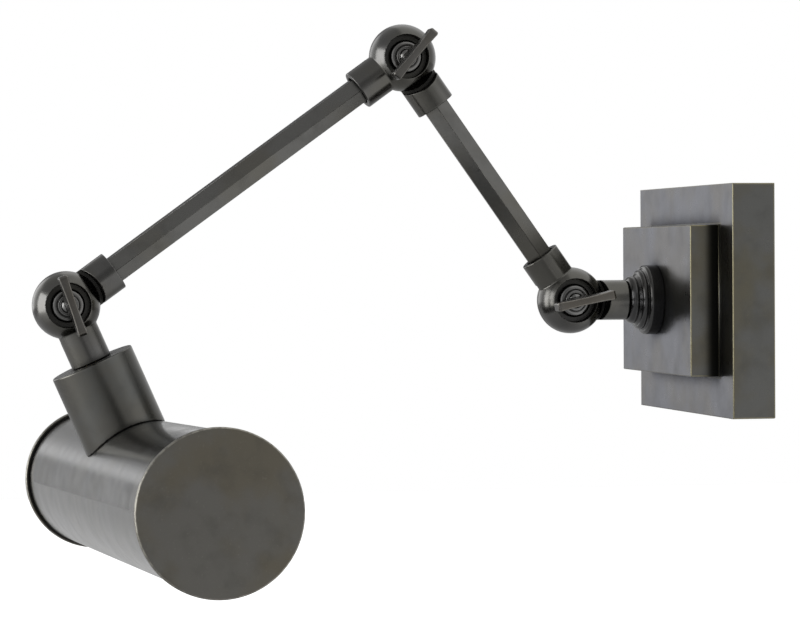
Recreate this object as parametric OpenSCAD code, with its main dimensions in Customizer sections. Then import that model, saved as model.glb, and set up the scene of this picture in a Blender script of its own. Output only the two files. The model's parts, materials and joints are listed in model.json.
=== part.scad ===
// Articulating wall lamp: a two-stage wall plate, two hexagonal arms on ball knuckles with
// clamp levers, and a long cylindrical shade on a round neck.
// Millimetres. The wall is the plane Y = 0, the lamp reaches out along -Y, and Z is up.
// The origin is the middle of the wall plate's back edge plane.

/* [Wall plate] */
// Width of the wall plate
plate_w = 170; // [150:1:210]
// Height of the wall plate
plate_h = 120; // [110:1:150]
// Depth of the wall plate
plate_d = 22.5; // [20:0.5:28]
// Sheet thickness of the plate and of the box on it
plate_wall = 1.6; // [1.2:0.1:2]
// Width of the raised box on the plate
box_w = 128; // [100:1:145]
// Height of the raised box on the plate
box_h = 78; // [60:1:100]
// Depth of the raised box
box_d = 16; // [12:0.5:22]

/* [Mounting strap] */
// Width of the steel strap behind the plate
strap_w = 30; // [26:1:40]
// Thickness of the strap
strap_t = 2; // [1.5:0.5:3]
// Depth of the bent ends of the strap
strap_flange_d = 16; // [14:0.5:18]
// Distance between the two wall screw slots
strap_slot_spacing = 60; // [50:1:66]
// Width of a wall screw slot
strap_slot_w = 4.6; // [4:0.1:5]
// End to end length of a wall screw slot
strap_slot_l = 12; // [8:0.5:14]
// Diameter of the hole for the supply wires
strap_wire_hole_d = 20; // [14:1:24]

/* [Rosette] */
// Length of the turned rosette from the box to the swivel line
rosette_l = 16.6; // [13:0.2:20]
// Diameter of the rosette's widest step
rosette_d = 36.8; // [34:0.2:42]

/* [Knuckles] */
// Diameter of each knuckle ball
ball_d = 35; // [34:0.5:40]
// Diameter of the round sockets and stubs
socket_d = 21.1; // [20:0.1:22]
// Gap between the two half balls of a knuckle
split_gap = 0.5; // [0.4:0.1:0.8]
// Gap between a half ball and the pocket that clears it
pocket_gap = 2; // [1:0.1:3]
// Diameter of the round recess in front of the ball
recess_d = 23; // [22.5:0.5:25]
// Distance from the pivot to the end of the wall stub
stub_reach = 30.1; // [29:0.1:34]
// Distance from the wall knuckle's pivot to the end of its arm socket
wall_socket_reach = 28.8; // [28:0.1:34]
// Distance from the elbow's pivot to the end of the inner arm's socket
elbow_inner_reach = 30.8; // [28:0.1:34]
// Distance from the elbow's pivot to the end of the outer arm's socket
elbow_outer_reach = 29.4; // [28:0.1:34]
// Distance from the head knuckle's pivot to the end of the arm's socket
head_socket_reach = 30.3; // [28:0.1:34]
// Distance from the head knuckle's pivot to the top of the neck
neck_reach = 32; // [31:0.5:38]

/* [Clamp levers] */
// Length of a clamp lever's blade
lever_l = 31.7; // [28:0.1:36]
// Thickness of a clamp lever's blade
lever_t = 4.9; // [3:0.1:5.5]
// Height of the blade's outer edge above the arms' middle plane
lever_top = 36; // [32:0.5:40]
// Height of the bar at the blade's tips
lever_bar_h = 9; // [7:0.5:11]
// Diameter of the round head under the lever
clamp_head_d = 17.6; // [17:0.1:19]
// Diameter of the clamp screw's shank
clamp_screw_d = 6; // [5:0.5:6]
// Angle of the wall knuckle's lever from +Y
wall_lever_angle = 12; // [-90:1:90]
// Angle of the elbow's lever from +Y
elbow_lever_angle = 50; // [-90:1:90]
// Angle of the head knuckle's lever from +Y
head_lever_angle = 109; // [0:1:180]

/* [Arms] */
// Pivot to pivot length of the arm nearer the wall
inner_arm_l = 156; // [140:1:240]
// Pivot to pivot length of the arm nearer the head
outer_arm_l = 218; // [180:1:300]
// Distance across the flats of the hexagonal rods
rod_flats = 13.2; // [12:0.1:13.4]
// Diameter of the wire bore in the rods
rod_bore_d = 6; // [5:0.5:7]
// Angle of the inner arm, from +Y
inner_arm_angle = 125.2; // [100:0.1:170]
// Angle of the outer arm, from +Y
outer_arm_angle = 215.9; // [190:0.1:225]
// Angle of the neck, from +Y
neck_angle = 293.75; // [280:0.05:310]

/* [Head] */
// Outer length of the head over both caps
head_l = 375; // [320:1:460]
// Outer diameter of the shade tube
tube_d = 75.8; // [74:0.2:84]
// Sheet thickness of the shade tube
tube_wall = 1.2; // [1:0.1:1.6]
// How far the end caps' rims stand proud of the tube
cap_proud = 1.9; // [1.2:0.1:3]
// Width of the end caps' rims
cap_rim_w = 3.8; // [3:0.1:6]
// Thickness of the end caps' discs
cap_disc_t = 1.5; // [1:0.1:2]
// Distance from the head knuckle's pivot to the tube's axis
head_drop = 106.5; // [100:0.5:130]
// Diameter of the round neck
neck_d = 43.9; // [40:0.1:48]
// Wall thickness of the neck
neck_wall = 1.5; // [1.2:0.1:2]
// Thickness of the neck's top
neck_top_t = 3; // [2.5:0.1:4]
// Turn of the head about the neck in the photographed pose
head_turn = 2.85; // [0:0.05:10]
// Width of the light opening along the tube
slot_w = 30; // [24:1:40]
// Distance from the light opening to each end of the head
slot_end = 27.5; // [20:0.5:50]

/* [Lamps] */
// Diameter of a tubular bulb
bulb_d = 26; // [22:1:28]
// Length of a bulb's glass
bulb_l = 108; // [80:1:112]
// Diameter of a lamp holder
holder_d = 24; // [20:1:26]
// Length of a lamp holder
holder_l = 27; // [24:1:30]

/* [Hidden] */

// Clearances: a running fit on a radius, a loose fit on a radius, and a gap between faces
run_fit = 0.05;
loose_fit = 0.25;
face_gap = 0.3;
// Overrun of every cut
over = 1;
// Facets of true circles
round_fn = 96;
$fn = round_fn;

// Wall end: the front faces of the plate, the box and the rosette, along -Y
box_front = plate_d + box_d;
rosette_front = box_front + rosette_l;
wall_pivot_y = -(rosette_front + face_gap + stub_reach);

// Pivots in the arms' plane
function heading(a) = [0, cos(a), sin(a)];
wall_pivot = [0, wall_pivot_y, 0];
elbow_pivot = wall_pivot + inner_arm_l * heading(inner_arm_angle);
head_pivot = elbow_pivot + outer_arm_l * heading(outer_arm_angle);

// Knuckle details
ball_r = ball_d / 2;
pocket_r = ball_r + pocket_gap;
socket_r = socket_d / 2;
socket_floor_wall = 1.3;
socket_floor = pocket_r + socket_floor_wall;
rod_corner_r = rod_flats / sqrt(3);
rod_bore_fit = 0.3;
rod_socket_r = rod_corner_r + rod_bore_fit;
recess_floor = 7.5;
wire_race_r = 8.2;
wire_race_w = 5;
wire_race_d = 4.5;
wire_hole_r = 2.6;
friction_seat_d = 0.8;
friction_disc_t = 1;
friction_disc_r = 7.4;
nut_flats = 10;
nut_t = 5;
nut_corner_r = nut_flats / sqrt(3);
nut_recess_r = nut_corner_r + loose_fit;
nut_recess_floor = 8.5;

// Clamp head and lever details
clamp_head_r = clamp_head_d / 2;
clamp_bead_r = 2.4;
clamp_base_top = 10.2;
clamp_step_r = 5.4;
clamp_step_top = 12.6;
clamp_button_r = 4.4;
clamp_button_drop = 1.4;
lever_foot_w = 10;
lever_cove_r = 8;
lever_tip_r = 1.4;
lever_fit = 0.05;
arc_steps = 8;
tip_steps = 4;

// Nipple, a hollow threaded tube
nipple_r = 5;
nipple_bore_r = 3.5;
nipple_tail = 3;
washer_r = 10;
washer_t = 1.2;
hex_nut_flats = 14;
hex_nut_t = 4;

// Strap screws, earth screw and terminal block
strap_clear = 0.4;
small_screw_r = 2;
small_head_r = 3.5;
small_head_h = 1.6;
sunk_screw_l = 5.5;
sunk_head_h = 1.3;
screw_slot_w = 0.8;
screw_slot_d = 0.7;
terminal_w = 28;
terminal_h = 11;
terminal_d = 12;
terminal_ways = 3;
terminal_wire_r = 1.6;
terminal_edge_gap = 2;

// Rosette steps: outer radius and front face of each, as shares of the whole, and the radius
// of its rolled edge
rosette_step_r_shares = [0.68, 0.86, 1];
rosette_step_l_shares = [0.99, 0.66, 0.46];
rosette_rolls = [3.2, 2, 1.7];
rosette_neck_r = 8.8;

// Head details
tube_r = tube_d / 2;
tube_in_r = tube_r - tube_wall;
cap_r = tube_r + cap_proud;
cap_fit = 0.05;
cap_groove_w = 0.6;
cap_groove_d = 0.5;
neck_r = neck_d / 2;
saddle_fit = 0.05;
swivel_washer_r = 9;
wire_port_r = 7;
reflector_t = 0.8;
reflector_gap = 0.3;
reflector_end = 22.5;
reflector_l = head_l - 2 * reflector_end;
slot_l = head_l - 2 * slot_end;
reflector_cut_drop = 8;
bracket_w = 16;
bracket_l = 40;
bracket_t = 1.5;
bracket_seat_gap = 0.1;
bracket_ear_below = 12;
bracket_screw_x = 12;
bracket_nut_flats = 7;
bracket_nut_t = 3.2;
holder_floor = 3;
bulb_base_r = 6.8;
bulb_base_l = 24;
bulb_base_floor = 3;
bulb_base_wall = 0.5;
bulb_glass_t = 0.8;
bulb_base_share = 0.45;
reflector_r = tube_in_r - reflector_gap;
bracket_top = sqrt(pow(reflector_r - reflector_t, 2) - pow(bracket_w / 2, 2)) - bracket_seat_gap;
lamp_x = bracket_l / 2;

bronze = "#4b4844";
brass = "#b08d4a";
steel = "#9aa0a3";

// Frames

// Local +Z runs from a pivot along the given heading, and X stays the pivot axis
module along(pivot, angle) {
    translate(pivot) rotate([angle - 90, 0, 0]) children();
}

// Local Z is the neck's axis, and local X is the shade's axis
module in_head() {
    along(head_pivot, neck_angle) rotate([0, 0, -head_turn]) children();
}

// A cylinder along X from x0 to x1
module x_cylinder(r, x0, x1) {
    translate([x0, 0, 0]) rotate([0, 90, 0]) cylinder(r = r, h = x1 - x0);
}

// A cylinder along -Y from depth y0 to depth y1
module wall_cylinder(r, y0, y1) {
    translate([0, -y0, 0]) rotate([90, 0, 0]) cylinder(r = r, h = y1 - y0);
}

// A block as wide as w along X and as high as h along Z, from depth y0 to depth y1
module wall_block(w, h, y0, y1) {
    translate([-w / 2, -y1, -h / 2]) cube([w, y1 - y0, h]);
}

function arc_points(centre, r, a0, a1, steps) =
    [for (i = [0:steps]) centre + r * [cos(a0 + (a1 - a0) * i / steps), sin(a0 + (a1 - a0) * i / steps)]];

// Wall side

module wall_plate() {
    color(bronze) difference() {
        wall_block(plate_w, plate_h, 0, plate_d);
        wall_block(plate_w - 2 * plate_wall, plate_h - 2 * plate_wall, -over, plate_d - plate_wall);
        wall_cylinder(nipple_r + loose_fit, 0, plate_d + over);
        for (side = [0, 1]) mirror([0, 0, side]) translate([0, -strap_screw_y, plate_h / 2]) {
            translate([0, 0, -plate_wall - over])
                cylinder(r = small_screw_r + loose_fit, h = plate_wall + over);
            sunk_cone(loose_fit);
        }
    }
}

module front_box() {
    color(bronze) difference() {
        wall_block(box_w, box_h, plate_d, box_front);
        wall_block(box_w - 2 * plate_wall, box_h - 2 * plate_wall, plate_d - over, box_front - plate_wall);
        wall_cylinder(nipple_r + loose_fit, plate_d, box_front + over);
    }
}

strap_h = plate_h - 2 * plate_wall - 2 * strap_clear;
strap_screw_y = strap_flange_d / 2 + strap_t;

module strap_slot() {
    half = (strap_slot_l - strap_slot_w) / 2;
    for (side = [-1, 1])
        translate([0, 0, side * half]) wall_cylinder(strap_slot_w / 2, -over, strap_t + over);
    wall_block(strap_slot_w, 2 * half, -over, strap_t + over);
}

module mounting_strap() {
    color(steel) difference() {
        union() {
            wall_block(strap_w, strap_h, 0, strap_t);
            for (side = [-1, 1])
                translate([0, 0, side * (strap_h - strap_t) / 2])
                    wall_block(strap_w, strap_t, 0, strap_flange_d);
        }
        wall_cylinder(strap_wire_hole_d / 2, -over, strap_t + over);
        for (side = [-1, 1]) {
            translate([0, 0, side * strap_slot_spacing / 2]) strap_slot();
            translate([0, -strap_screw_y, side * (strap_h - strap_t) / 2])
                cylinder(r = small_screw_r + run_fit, h = strap_t + 2 * over, center = true);
        }
        translate([0, 0, earth_z]) wall_cylinder(small_screw_r + run_fit, -over, strap_t + over);
    }
}

// A slotted screw that points along -Z, with its head's seat at the origin
module small_screw(shank_l) {
    difference() {
        union() {
            cylinder(r = small_head_r, h = small_head_h);
            translate([0, 0, -shank_l]) cylinder(r = small_screw_r, h = shank_l + small_head_h / 2);
        }
        translate([-small_head_r - over, -screw_slot_w / 2, small_head_h - screw_slot_d])
            cube([2 * (small_head_r + over), screw_slot_w, screw_slot_d + over]);
    }
}

// The cone of a sunk screw's head, below the face at the origin
module sunk_cone(fit) {
    translate([0, 0, -sunk_head_h])
        cylinder(r1 = small_screw_r + fit, r2 = small_head_r + fit, h = sunk_head_h);
}

// Sunk screws that lie flush in the plate's top and bottom edges
module strap_screws() {
    color(bronze) for (side = [0, 1]) mirror([0, 0, side]) translate([0, -strap_screw_y, plate_h / 2])
        difference() {
            union() {
                sunk_cone(0);
                translate([0, 0, -sunk_screw_l])
                    cylinder(r = small_screw_r, h = sunk_screw_l - sunk_head_h / 2);
            }
            translate([-small_head_r - over, -screw_slot_w / 2, -screw_slot_d])
                cube([2 * (small_head_r + over), screw_slot_w, screw_slot_d + over]);
        }
}

earth_z = (strap_slot_spacing / 2 + strap_slot_l / 2 + strap_h / 2 - strap_t) / 2;

module earth_screw() {
    color(brass) translate([0, -strap_t, earth_z]) rotate([90, 0, 0]) small_screw(strap_t);
}

// Stands on the strap below the lower slot
module terminal_block() {
    z0 = -(strap_h / 2 - strap_t - terminal_edge_gap);
    pitch = terminal_w / terminal_ways;
    color("#e8e4da") difference() {
        translate([-terminal_w / 2, -strap_t - terminal_d, z0]) cube([terminal_w, terminal_d, terminal_h]);
        for (i = [0:terminal_ways - 1]) {
            x = (i - (terminal_ways - 1) / 2) * pitch;
            translate([x, -strap_t - terminal_d / 2, z0 - over])
                cylinder(r = terminal_wire_r, h = terminal_h + 2 * over);
            translate([x, -strap_t - terminal_d / 2, z0 + terminal_h / 2])
                rotate([90, 0, 0]) cylinder(r = terminal_wire_r, h = terminal_d);
        }
    }
}

module rosette() {
    top_r = rosette_d / 2;
    color(bronze) translate([0, -box_front, 0]) rotate([90, 0, 0]) difference() {
        rotate_extrude() {
            square([rosette_neck_r, rosette_l]);
            for (i = [0:2]) {
                r = top_r * rosette_step_r_shares[i];
                front = rosette_l * rosette_step_l_shares[i];
                roll = rosette_rolls[i];
                square([r - roll, front]);
                translate([r - roll, front - roll]) circle(r = roll);
            }
            square([top_r, rosette_l * rosette_step_l_shares[2] - rosette_rolls[2]]);
        }
        translate([0, 0, -over]) cylinder(r = nipple_r + run_fit, h = rosette_l + 2 * over);
    }
}

module wall_nipple() {
    back = plate_d - plate_wall - washer_t - hex_nut_t - nipple_tail;
    front = -wall_pivot_y - socket_floor;
    color(brass) difference() {
        wall_cylinder(nipple_r, back, front);
        wall_cylinder(nipple_bore_r, back - over, front + over);
    }
}

module nipple_washer() {
    back = plate_d - plate_wall - washer_t;
    color(steel) difference() {
        wall_cylinder(washer_r, back, back + washer_t);
        wall_cylinder(nipple_r + run_fit, back - over, back + washer_t + over);
    }
}

// A hexagonal nut on local +Z
module hex_nut(flats, t, bore_r) {
    difference() {
        cylinder(r = flats / sqrt(3), h = t, $fn = 6);
        translate([0, 0, -over]) cylinder(r = bore_r, h = t + 2 * over);
    }
}

module nipple_nut() {
    back = plate_d - plate_wall - washer_t - hex_nut_t;
    color(brass) translate([0, -back, 0]) rotate([90, 0, 0])
        hex_nut(hex_nut_flats, hex_nut_t, nipple_r + run_fit);
}

// Knuckles

// One member of a knuckle: a half ball on one side of the middle plane, with a round
// shank of length reach along local +Z. side is 1 for the front half and -1 for the rear.
module knuckle_member(side, reach) {
    difference() {
        union() {
            intersection() {
                // The seam of the sphere lies in the half that is cut away
                rotate([0, 0, side > 0 ? 180 : 0]) sphere(r = ball_r);
                translate([side > 0 ? split_gap / 2 : -2 * ball_r, -2 * ball_r, -2 * ball_r])
                    cube([2 * ball_r - (side > 0 ? 0 : split_gap / 2), 4 * ball_r, 4 * ball_r]);
            }
            cylinder(r = socket_r, h = reach);
        }
        x_cylinder(pocket_r, side > 0 ? -2 * ball_r : -split_gap / 2, side > 0 ? split_gap / 2 : 2 * ball_r);
        x_cylinder(clamp_screw_d / 2 + run_fit, -2 * ball_r, 2 * ball_r);
        wire_race(side);
        translate([0, 0, wire_race_r + wire_race_w / 2]) cylinder(r = wire_hole_r, h = reach);
        if (side > 0) x_cylinder(recess_d / 2, recess_floor, 2 * ball_r);
        if (side < 0) {
            x_cylinder(nut_recess_r, -2 * ball_r, -nut_recess_floor);
            x_cylinder(friction_disc_r + loose_fit, -split_gap / 2 - friction_seat_d, 0);
        }
    }
}

// The ring-shaped channel that takes the wires round the clamp screw
module wire_race(side) {
    x0 = side > 0 ? 0 : -split_gap / 2 - wire_race_d;
    x1 = side > 0 ? split_gap / 2 + wire_race_d : 0;
    difference() {
        x_cylinder(wire_race_r + wire_race_w, x0, x1);
        x_cylinder(wire_race_r, x0 - over, x1 + over);
    }
}

// A member with a bore at its far end, down to the socket's floor
module socket_member(side, reach, bore_r) {
    color(bronze) difference() {
        knuckle_member(side, reach);
        translate([0, 0, socket_floor]) cylinder(r = bore_r, h = reach);
    }
}

// The fibre disc in the rear half's seat
module friction_disc(pivot) {
    x0 = -split_gap / 2 - friction_seat_d;
    color("#6b5a44") translate(pivot) difference() {
        x_cylinder(friction_disc_r, x0, x0 + friction_disc_t);
        x_cylinder(clamp_screw_d / 2 + loose_fit, x0 - over, x0 + friction_disc_t + over);
    }
}

// The nut behind the rear half ball
module clamp_nut(pivot) {
    color(steel) translate(pivot) translate([-nut_recess_floor, 0, 0]) rotate([0, -90, 0])
        hex_nut(nut_flats, nut_t, clamp_screw_d / 2 + run_fit);
}

// The turned head of a clamp screw, with its shank through both half balls.
// The button on top is slit for the lever.
module clamp_screw(pivot, angle) {
    head_x0 = recess_floor + face_gap;
    shank_end = nut_recess_floor + nut_t;
    color(bronze) along(pivot, angle) difference() {
        union() {
            rotate([0, 90, 0]) rotate_extrude() {
                translate([0, head_x0]) square([clamp_head_r - clamp_bead_r, clamp_base_top - head_x0]);
                intersection() {
                    translate([clamp_head_r - clamp_bead_r, clamp_base_top - clamp_bead_r / 2])
                        circle(r = clamp_bead_r);
                    translate([0, head_x0]) square([2 * clamp_head_r, lever_top]);
                }
                translate([0, head_x0]) square([clamp_step_r, clamp_step_top - head_x0]);
                intersection() {
                    translate([0, clamp_step_top - clamp_button_drop]) circle(r = clamp_button_r);
                    translate([0, head_x0]) square([2 * clamp_head_r, lever_top]);
                }
            }
            x_cylinder(clamp_screw_d / 2, -shank_end, head_x0 + over);
        }
        translate([clamp_step_top, -lever_t / 2 - lever_fit, -lever_foot_w / 2 - lever_fit])
            cube([lever_top, lever_t + 2 * lever_fit, lever_foot_w + 2 * lever_fit]);
    }
}

// The flat blade that stands on the clamp screw. Its outline lies in local Z and X.
module clamp_lever(pivot, angle) {
    foot = lever_foot_w / 2;
    tip = lever_l / 2;
    bar_x = lever_top - lever_bar_h;
    cove = [foot + lever_cove_r, bar_x - lever_cove_r];
    half = concat(
        [[foot, clamp_step_top]],
        arc_points(cove, lever_cove_r, 180, 90, arc_steps),
        [[tip, bar_x]],
        arc_points([tip - lever_tip_r, lever_top - lever_tip_r], lever_tip_r, 0, 90, tip_steps)
    );
    mirrored = [for (i = [len(half) - 1:-1:0]) [-half[i][0], half[i][1]]];
    color(bronze) along(pivot, angle) rotate([90, 0, 0]) translate([0, 0, -lever_t / 2])
        rotate([0, 0, -90]) mirror([1, 0, 0]) linear_extrude(height = lever_t)
            polygon(concat(half, mirrored));
}

module wall_stub() {
    along(wall_pivot, 0) socket_member(-1, stub_reach, nipple_r + run_fit);
}
module wall_friction_disc() { friction_disc(wall_pivot); }
module wall_clamp_nut() { clamp_nut(wall_pivot); }
module wall_clamp_screw() { clamp_screw(wall_pivot, wall_lever_angle); }
module wall_clamp_lever() { clamp_lever(wall_pivot, wall_lever_angle); }

// Arms

// A hexagonal rod between two socket floors, with a corner towards the pivot axis
module arm_rod(pivot, angle, length) {
    color(bronze) along(pivot, angle) translate([0, 0, socket_floor]) difference() {
        cylinder(r = rod_corner_r, h = length - 2 * socket_floor, $fn = 6);
        translate([0, 0, -over]) cylinder(r = rod_bore_d / 2, h = length + 2 * over);
    }
}

module inner_arm_wall_socket() {
    along(wall_pivot, inner_arm_angle) socket_member(1, wall_socket_reach, rod_socket_r);
}
module inner_arm_rod() { arm_rod(wall_pivot, inner_arm_angle, inner_arm_l); }
module inner_arm_elbow_socket() {
    along(elbow_pivot, inner_arm_angle + 180) socket_member(-1, elbow_inner_reach, rod_socket_r);
}
module elbow_friction_disc() { friction_disc(elbow_pivot); }
module elbow_clamp_nut() { clamp_nut(elbow_pivot); }
module elbow_clamp_screw() { clamp_screw(elbow_pivot, elbow_lever_angle); }
module elbow_clamp_lever() { clamp_lever(elbow_pivot, elbow_lever_angle); }

module outer_arm_elbow_socket() {
    along(elbow_pivot, outer_arm_angle) socket_member(1, elbow_outer_reach, rod_socket_r);
}
module outer_arm_rod() { arm_rod(elbow_pivot, outer_arm_angle, outer_arm_l); }
module outer_arm_head_socket() {
    along(head_pivot, outer_arm_angle + 180) socket_member(-1, head_socket_reach, rod_socket_r);
}
module head_friction_disc() { friction_disc(head_pivot); }
module head_clamp_nut() { clamp_nut(head_pivot); }
module head_clamp_screw() { clamp_screw(head_pivot, head_lever_angle); }
module head_clamp_lever() { clamp_lever(head_pivot, head_lever_angle); }

module head_stub() {
    along(head_pivot, neck_angle) socket_member(1, neck_reach - face_gap, nipple_r + run_fit);
}

// Head

nipple_end = neck_reach + neck_top_t + washer_t + hex_nut_t + nipple_tail;

module head_nipple() {
    color(brass) along(head_pivot, neck_angle) difference() {
        translate([0, 0, socket_floor]) cylinder(r = nipple_r, h = nipple_end - socket_floor);
        translate([0, 0, socket_floor - over]) cylinder(r = nipple_bore_r, h = nipple_end);
    }
}

// The washer stays on the nipple and slides on the underside of the neck's top
module swivel_washer() {
    color(steel) along(head_pivot, neck_angle) translate([0, 0, neck_reach + neck_top_t + run_fit])
        difference() {
            cylinder(r = swivel_washer_r, h = washer_t);
            translate([0, 0, -over]) cylinder(r = nipple_r + run_fit, h = washer_t + 2 * over);
        }
}

module swivel_nut() {
    color(brass) along(head_pivot, neck_angle)
        translate([0, 0, neck_reach + neck_top_t + run_fit + washer_t])
            hex_nut(hex_nut_flats, hex_nut_t, nipple_r + run_fit);
}

module neck() {
    color(bronze) in_head() difference() {
        translate([0, 0, neck_reach]) cylinder(r = neck_r, h = head_drop - neck_reach);
        translate([0, 0, neck_reach + neck_top_t]) cylinder(r = neck_r - neck_wall, h = head_drop);
        translate([0, 0, neck_reach - over]) cylinder(r = nipple_r + run_fit, h = head_drop);
        translate([0, 0, head_drop]) x_cylinder(tube_r + saddle_fit, -tube_d, tube_d);
    }
}

tube_half = head_l / 2 - cap_disc_t;

module shade_tube() {
    color(bronze) in_head() difference() {
        translate([0, 0, head_drop]) x_cylinder(tube_r, -tube_half, tube_half);
        translate([0, 0, head_drop]) x_cylinder(tube_in_r, -tube_half - over, tube_half + over);
        translate([-slot_l / 2, -slot_w / 2, head_drop]) cube([slot_l, slot_w, tube_d]);
        cylinder(r = wire_port_r, h = head_drop);
        for (side = [-1, 1])
            translate([side * bracket_screw_x, 0, 0]) cylinder(r = small_screw_r + loose_fit, h = head_drop);
    }
}

// A cup over the tube's end, with a groove between the two beads of its rim
module end_cap(side) {
    outer = head_l / 2;
    groove = outer - cap_rim_w / 2;
    color(bronze) in_head() translate([0, 0, head_drop]) mirror([side > 0 ? 0 : 1, 0, 0]) difference() {
        x_cylinder(cap_r, outer - cap_rim_w, outer);
        x_cylinder(tube_r + cap_fit, outer - cap_rim_w - over, outer - cap_disc_t);
        difference() {
            x_cylinder(cap_r + over, groove - cap_groove_w / 2, groove + cap_groove_w / 2);
            x_cylinder(cap_r - cap_groove_d, groove - cap_groove_w, groove + cap_groove_w);
        }
    }
}
module near_cap() { end_cap(1); }
module far_cap() { end_cap(-1); }

// A bright trough along the neck's side of the tube
module reflector() {
    color("#d8dadb") in_head() difference() {
        translate([0, 0, head_drop]) x_cylinder(reflector_r, -reflector_l / 2, reflector_l / 2);
        translate([0, 0, head_drop])
            x_cylinder(reflector_r - reflector_t, -reflector_l / 2 - over, reflector_l / 2 + over);
        translate([-reflector_l / 2 - over, -tube_r, head_drop + reflector_cut_drop])
            cube([reflector_l + 2 * over, tube_d, tube_d]);
        cylinder(r = wire_port_r, h = head_drop);
        for (side = [-1, 1])
            translate([side * bracket_screw_x, 0, 0]) cylinder(r = small_screw_r + loose_fit, h = head_drop);
    }
}

// A sheet channel whose two ears carry the lamp holders
module holder_bracket() {
    top = head_drop - bracket_top;
    color(steel) in_head() difference() {
        union() {
            translate([-bracket_l / 2, -bracket_w / 2, top]) cube([bracket_l, bracket_w, bracket_t]);
            for (side = [-1, 1])
                translate([side * (bracket_l - bracket_t) / 2 - bracket_t / 2, -bracket_w / 2, top])
                    cube([bracket_t, bracket_w, bracket_top + bracket_ear_below]);
        }
        cylinder(r = wire_port_r, h = head_drop - bracket_top + bracket_t + over);
        for (side = [-1, 1])
            translate([side * bracket_screw_x, 0, 0])
                cylinder(r = small_screw_r + loose_fit, h = head_drop - bracket_top + bracket_t + over);
        translate([0, 0, head_drop]) x_cylinder(terminal_wire_r, -bracket_l, bracket_l);
    }
}

// Screws up through the bracket, the reflector and the tube, with nuts inside the neck
module bracket_screws() {
    top = head_drop - bracket_top + bracket_t;
    color(steel) in_head() for (side = [-1, 1])
        translate([side * bracket_screw_x, 0, top])
            small_screw(top - (head_drop - tube_r) + bracket_nut_t + small_head_h);
}

module bracket_nuts() {
    color(steel) in_head() for (side = [-1, 1])
        translate([side * bracket_screw_x, 0, head_drop - tube_r - bracket_nut_t])
            hex_nut(bracket_nut_flats, bracket_nut_t, small_screw_r + run_fit);
}

// What is made twice, once for each end of the head, on the shade's axis
module both_ends() {
    in_head() translate([0, 0, head_drop]) for (side = [0, 1]) mirror([side, 0, 0]) children();
}

module lamp_holders() {
    color("#e8e4da") both_ends() difference() {
        x_cylinder(holder_d / 2, lamp_x, lamp_x + holder_l);
        x_cylinder(bulb_base_r + loose_fit, lamp_x + holder_floor, lamp_x + holder_l + over);
    }
}

base_x = lamp_x + holder_floor;

module bulb_bases() {
    color(brass) both_ends() difference() {
        x_cylinder(bulb_base_r, base_x, base_x + bulb_base_l);
        x_cylinder(bulb_base_r - bulb_base_wall, base_x + bulb_base_floor, base_x + bulb_base_l + over);
    }
}

// Clear tube with a round end, open where it meets its base
module bulb_glass() {
    r = bulb_d / 2;
    x0 = base_x + bulb_base_l;
    round_x = x0 + bulb_l - r;
    hole_r = r * bulb_base_share;
    color("#ffffff", 0.4) both_ends() difference() {
        union() {
            x_cylinder(r, x0, round_x);
            translate([round_x, 0, 0]) sphere(r = r);
        }
        x_cylinder(r - bulb_glass_t, x0 + bulb_glass_t, round_x);
        translate([round_x, 0, 0]) sphere(r = r - bulb_glass_t);
        x_cylinder(hole_r, x0 - over, x0 + bulb_glass_t + over);
    }
}

wall_plate();
front_box();
mounting_strap();
strap_screws();
earth_screw();
terminal_block();
rosette();
wall_nipple();
nipple_washer();
nipple_nut();
wall_stub();
wall_friction_disc();
wall_clamp_nut();
wall_clamp_screw();
wall_clamp_lever();
inner_arm_wall_socket();
inner_arm_rod();
inner_arm_elbow_socket();
elbow_friction_disc();
elbow_clamp_nut();
elbow_clamp_screw();
elbow_clamp_lever();
outer_arm_elbow_socket();
outer_arm_rod();
outer_arm_head_socket();
head_friction_disc();
head_clamp_nut();
head_clamp_screw();
head_clamp_lever();
head_stub();
head_nipple();
swivel_washer();
swivel_nut();
neck();
shade_tube();
near_cap();
far_cap();
reflector();
holder_bracket();
bracket_screws();
bracket_nuts();
lamp_holders();
bulb_bases();
bulb_glass();
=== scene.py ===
"""Articulating wall lamp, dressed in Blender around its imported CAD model.

Sizes in the classes are in millimetres, in each piece's own frame, and become metres when
the piece is placed. Every visible shape is rebuilt with rounded edges where its CAD node is.
"""
from __future__ import annotations

import json
import logging
import math
from collections.abc import Callable, Iterable
from dataclasses import dataclass, replace
from enum import Enum
from typing import Any

import bmesh
import bpy
import numpy as np
from mathutils import Matrix, Vector

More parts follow.
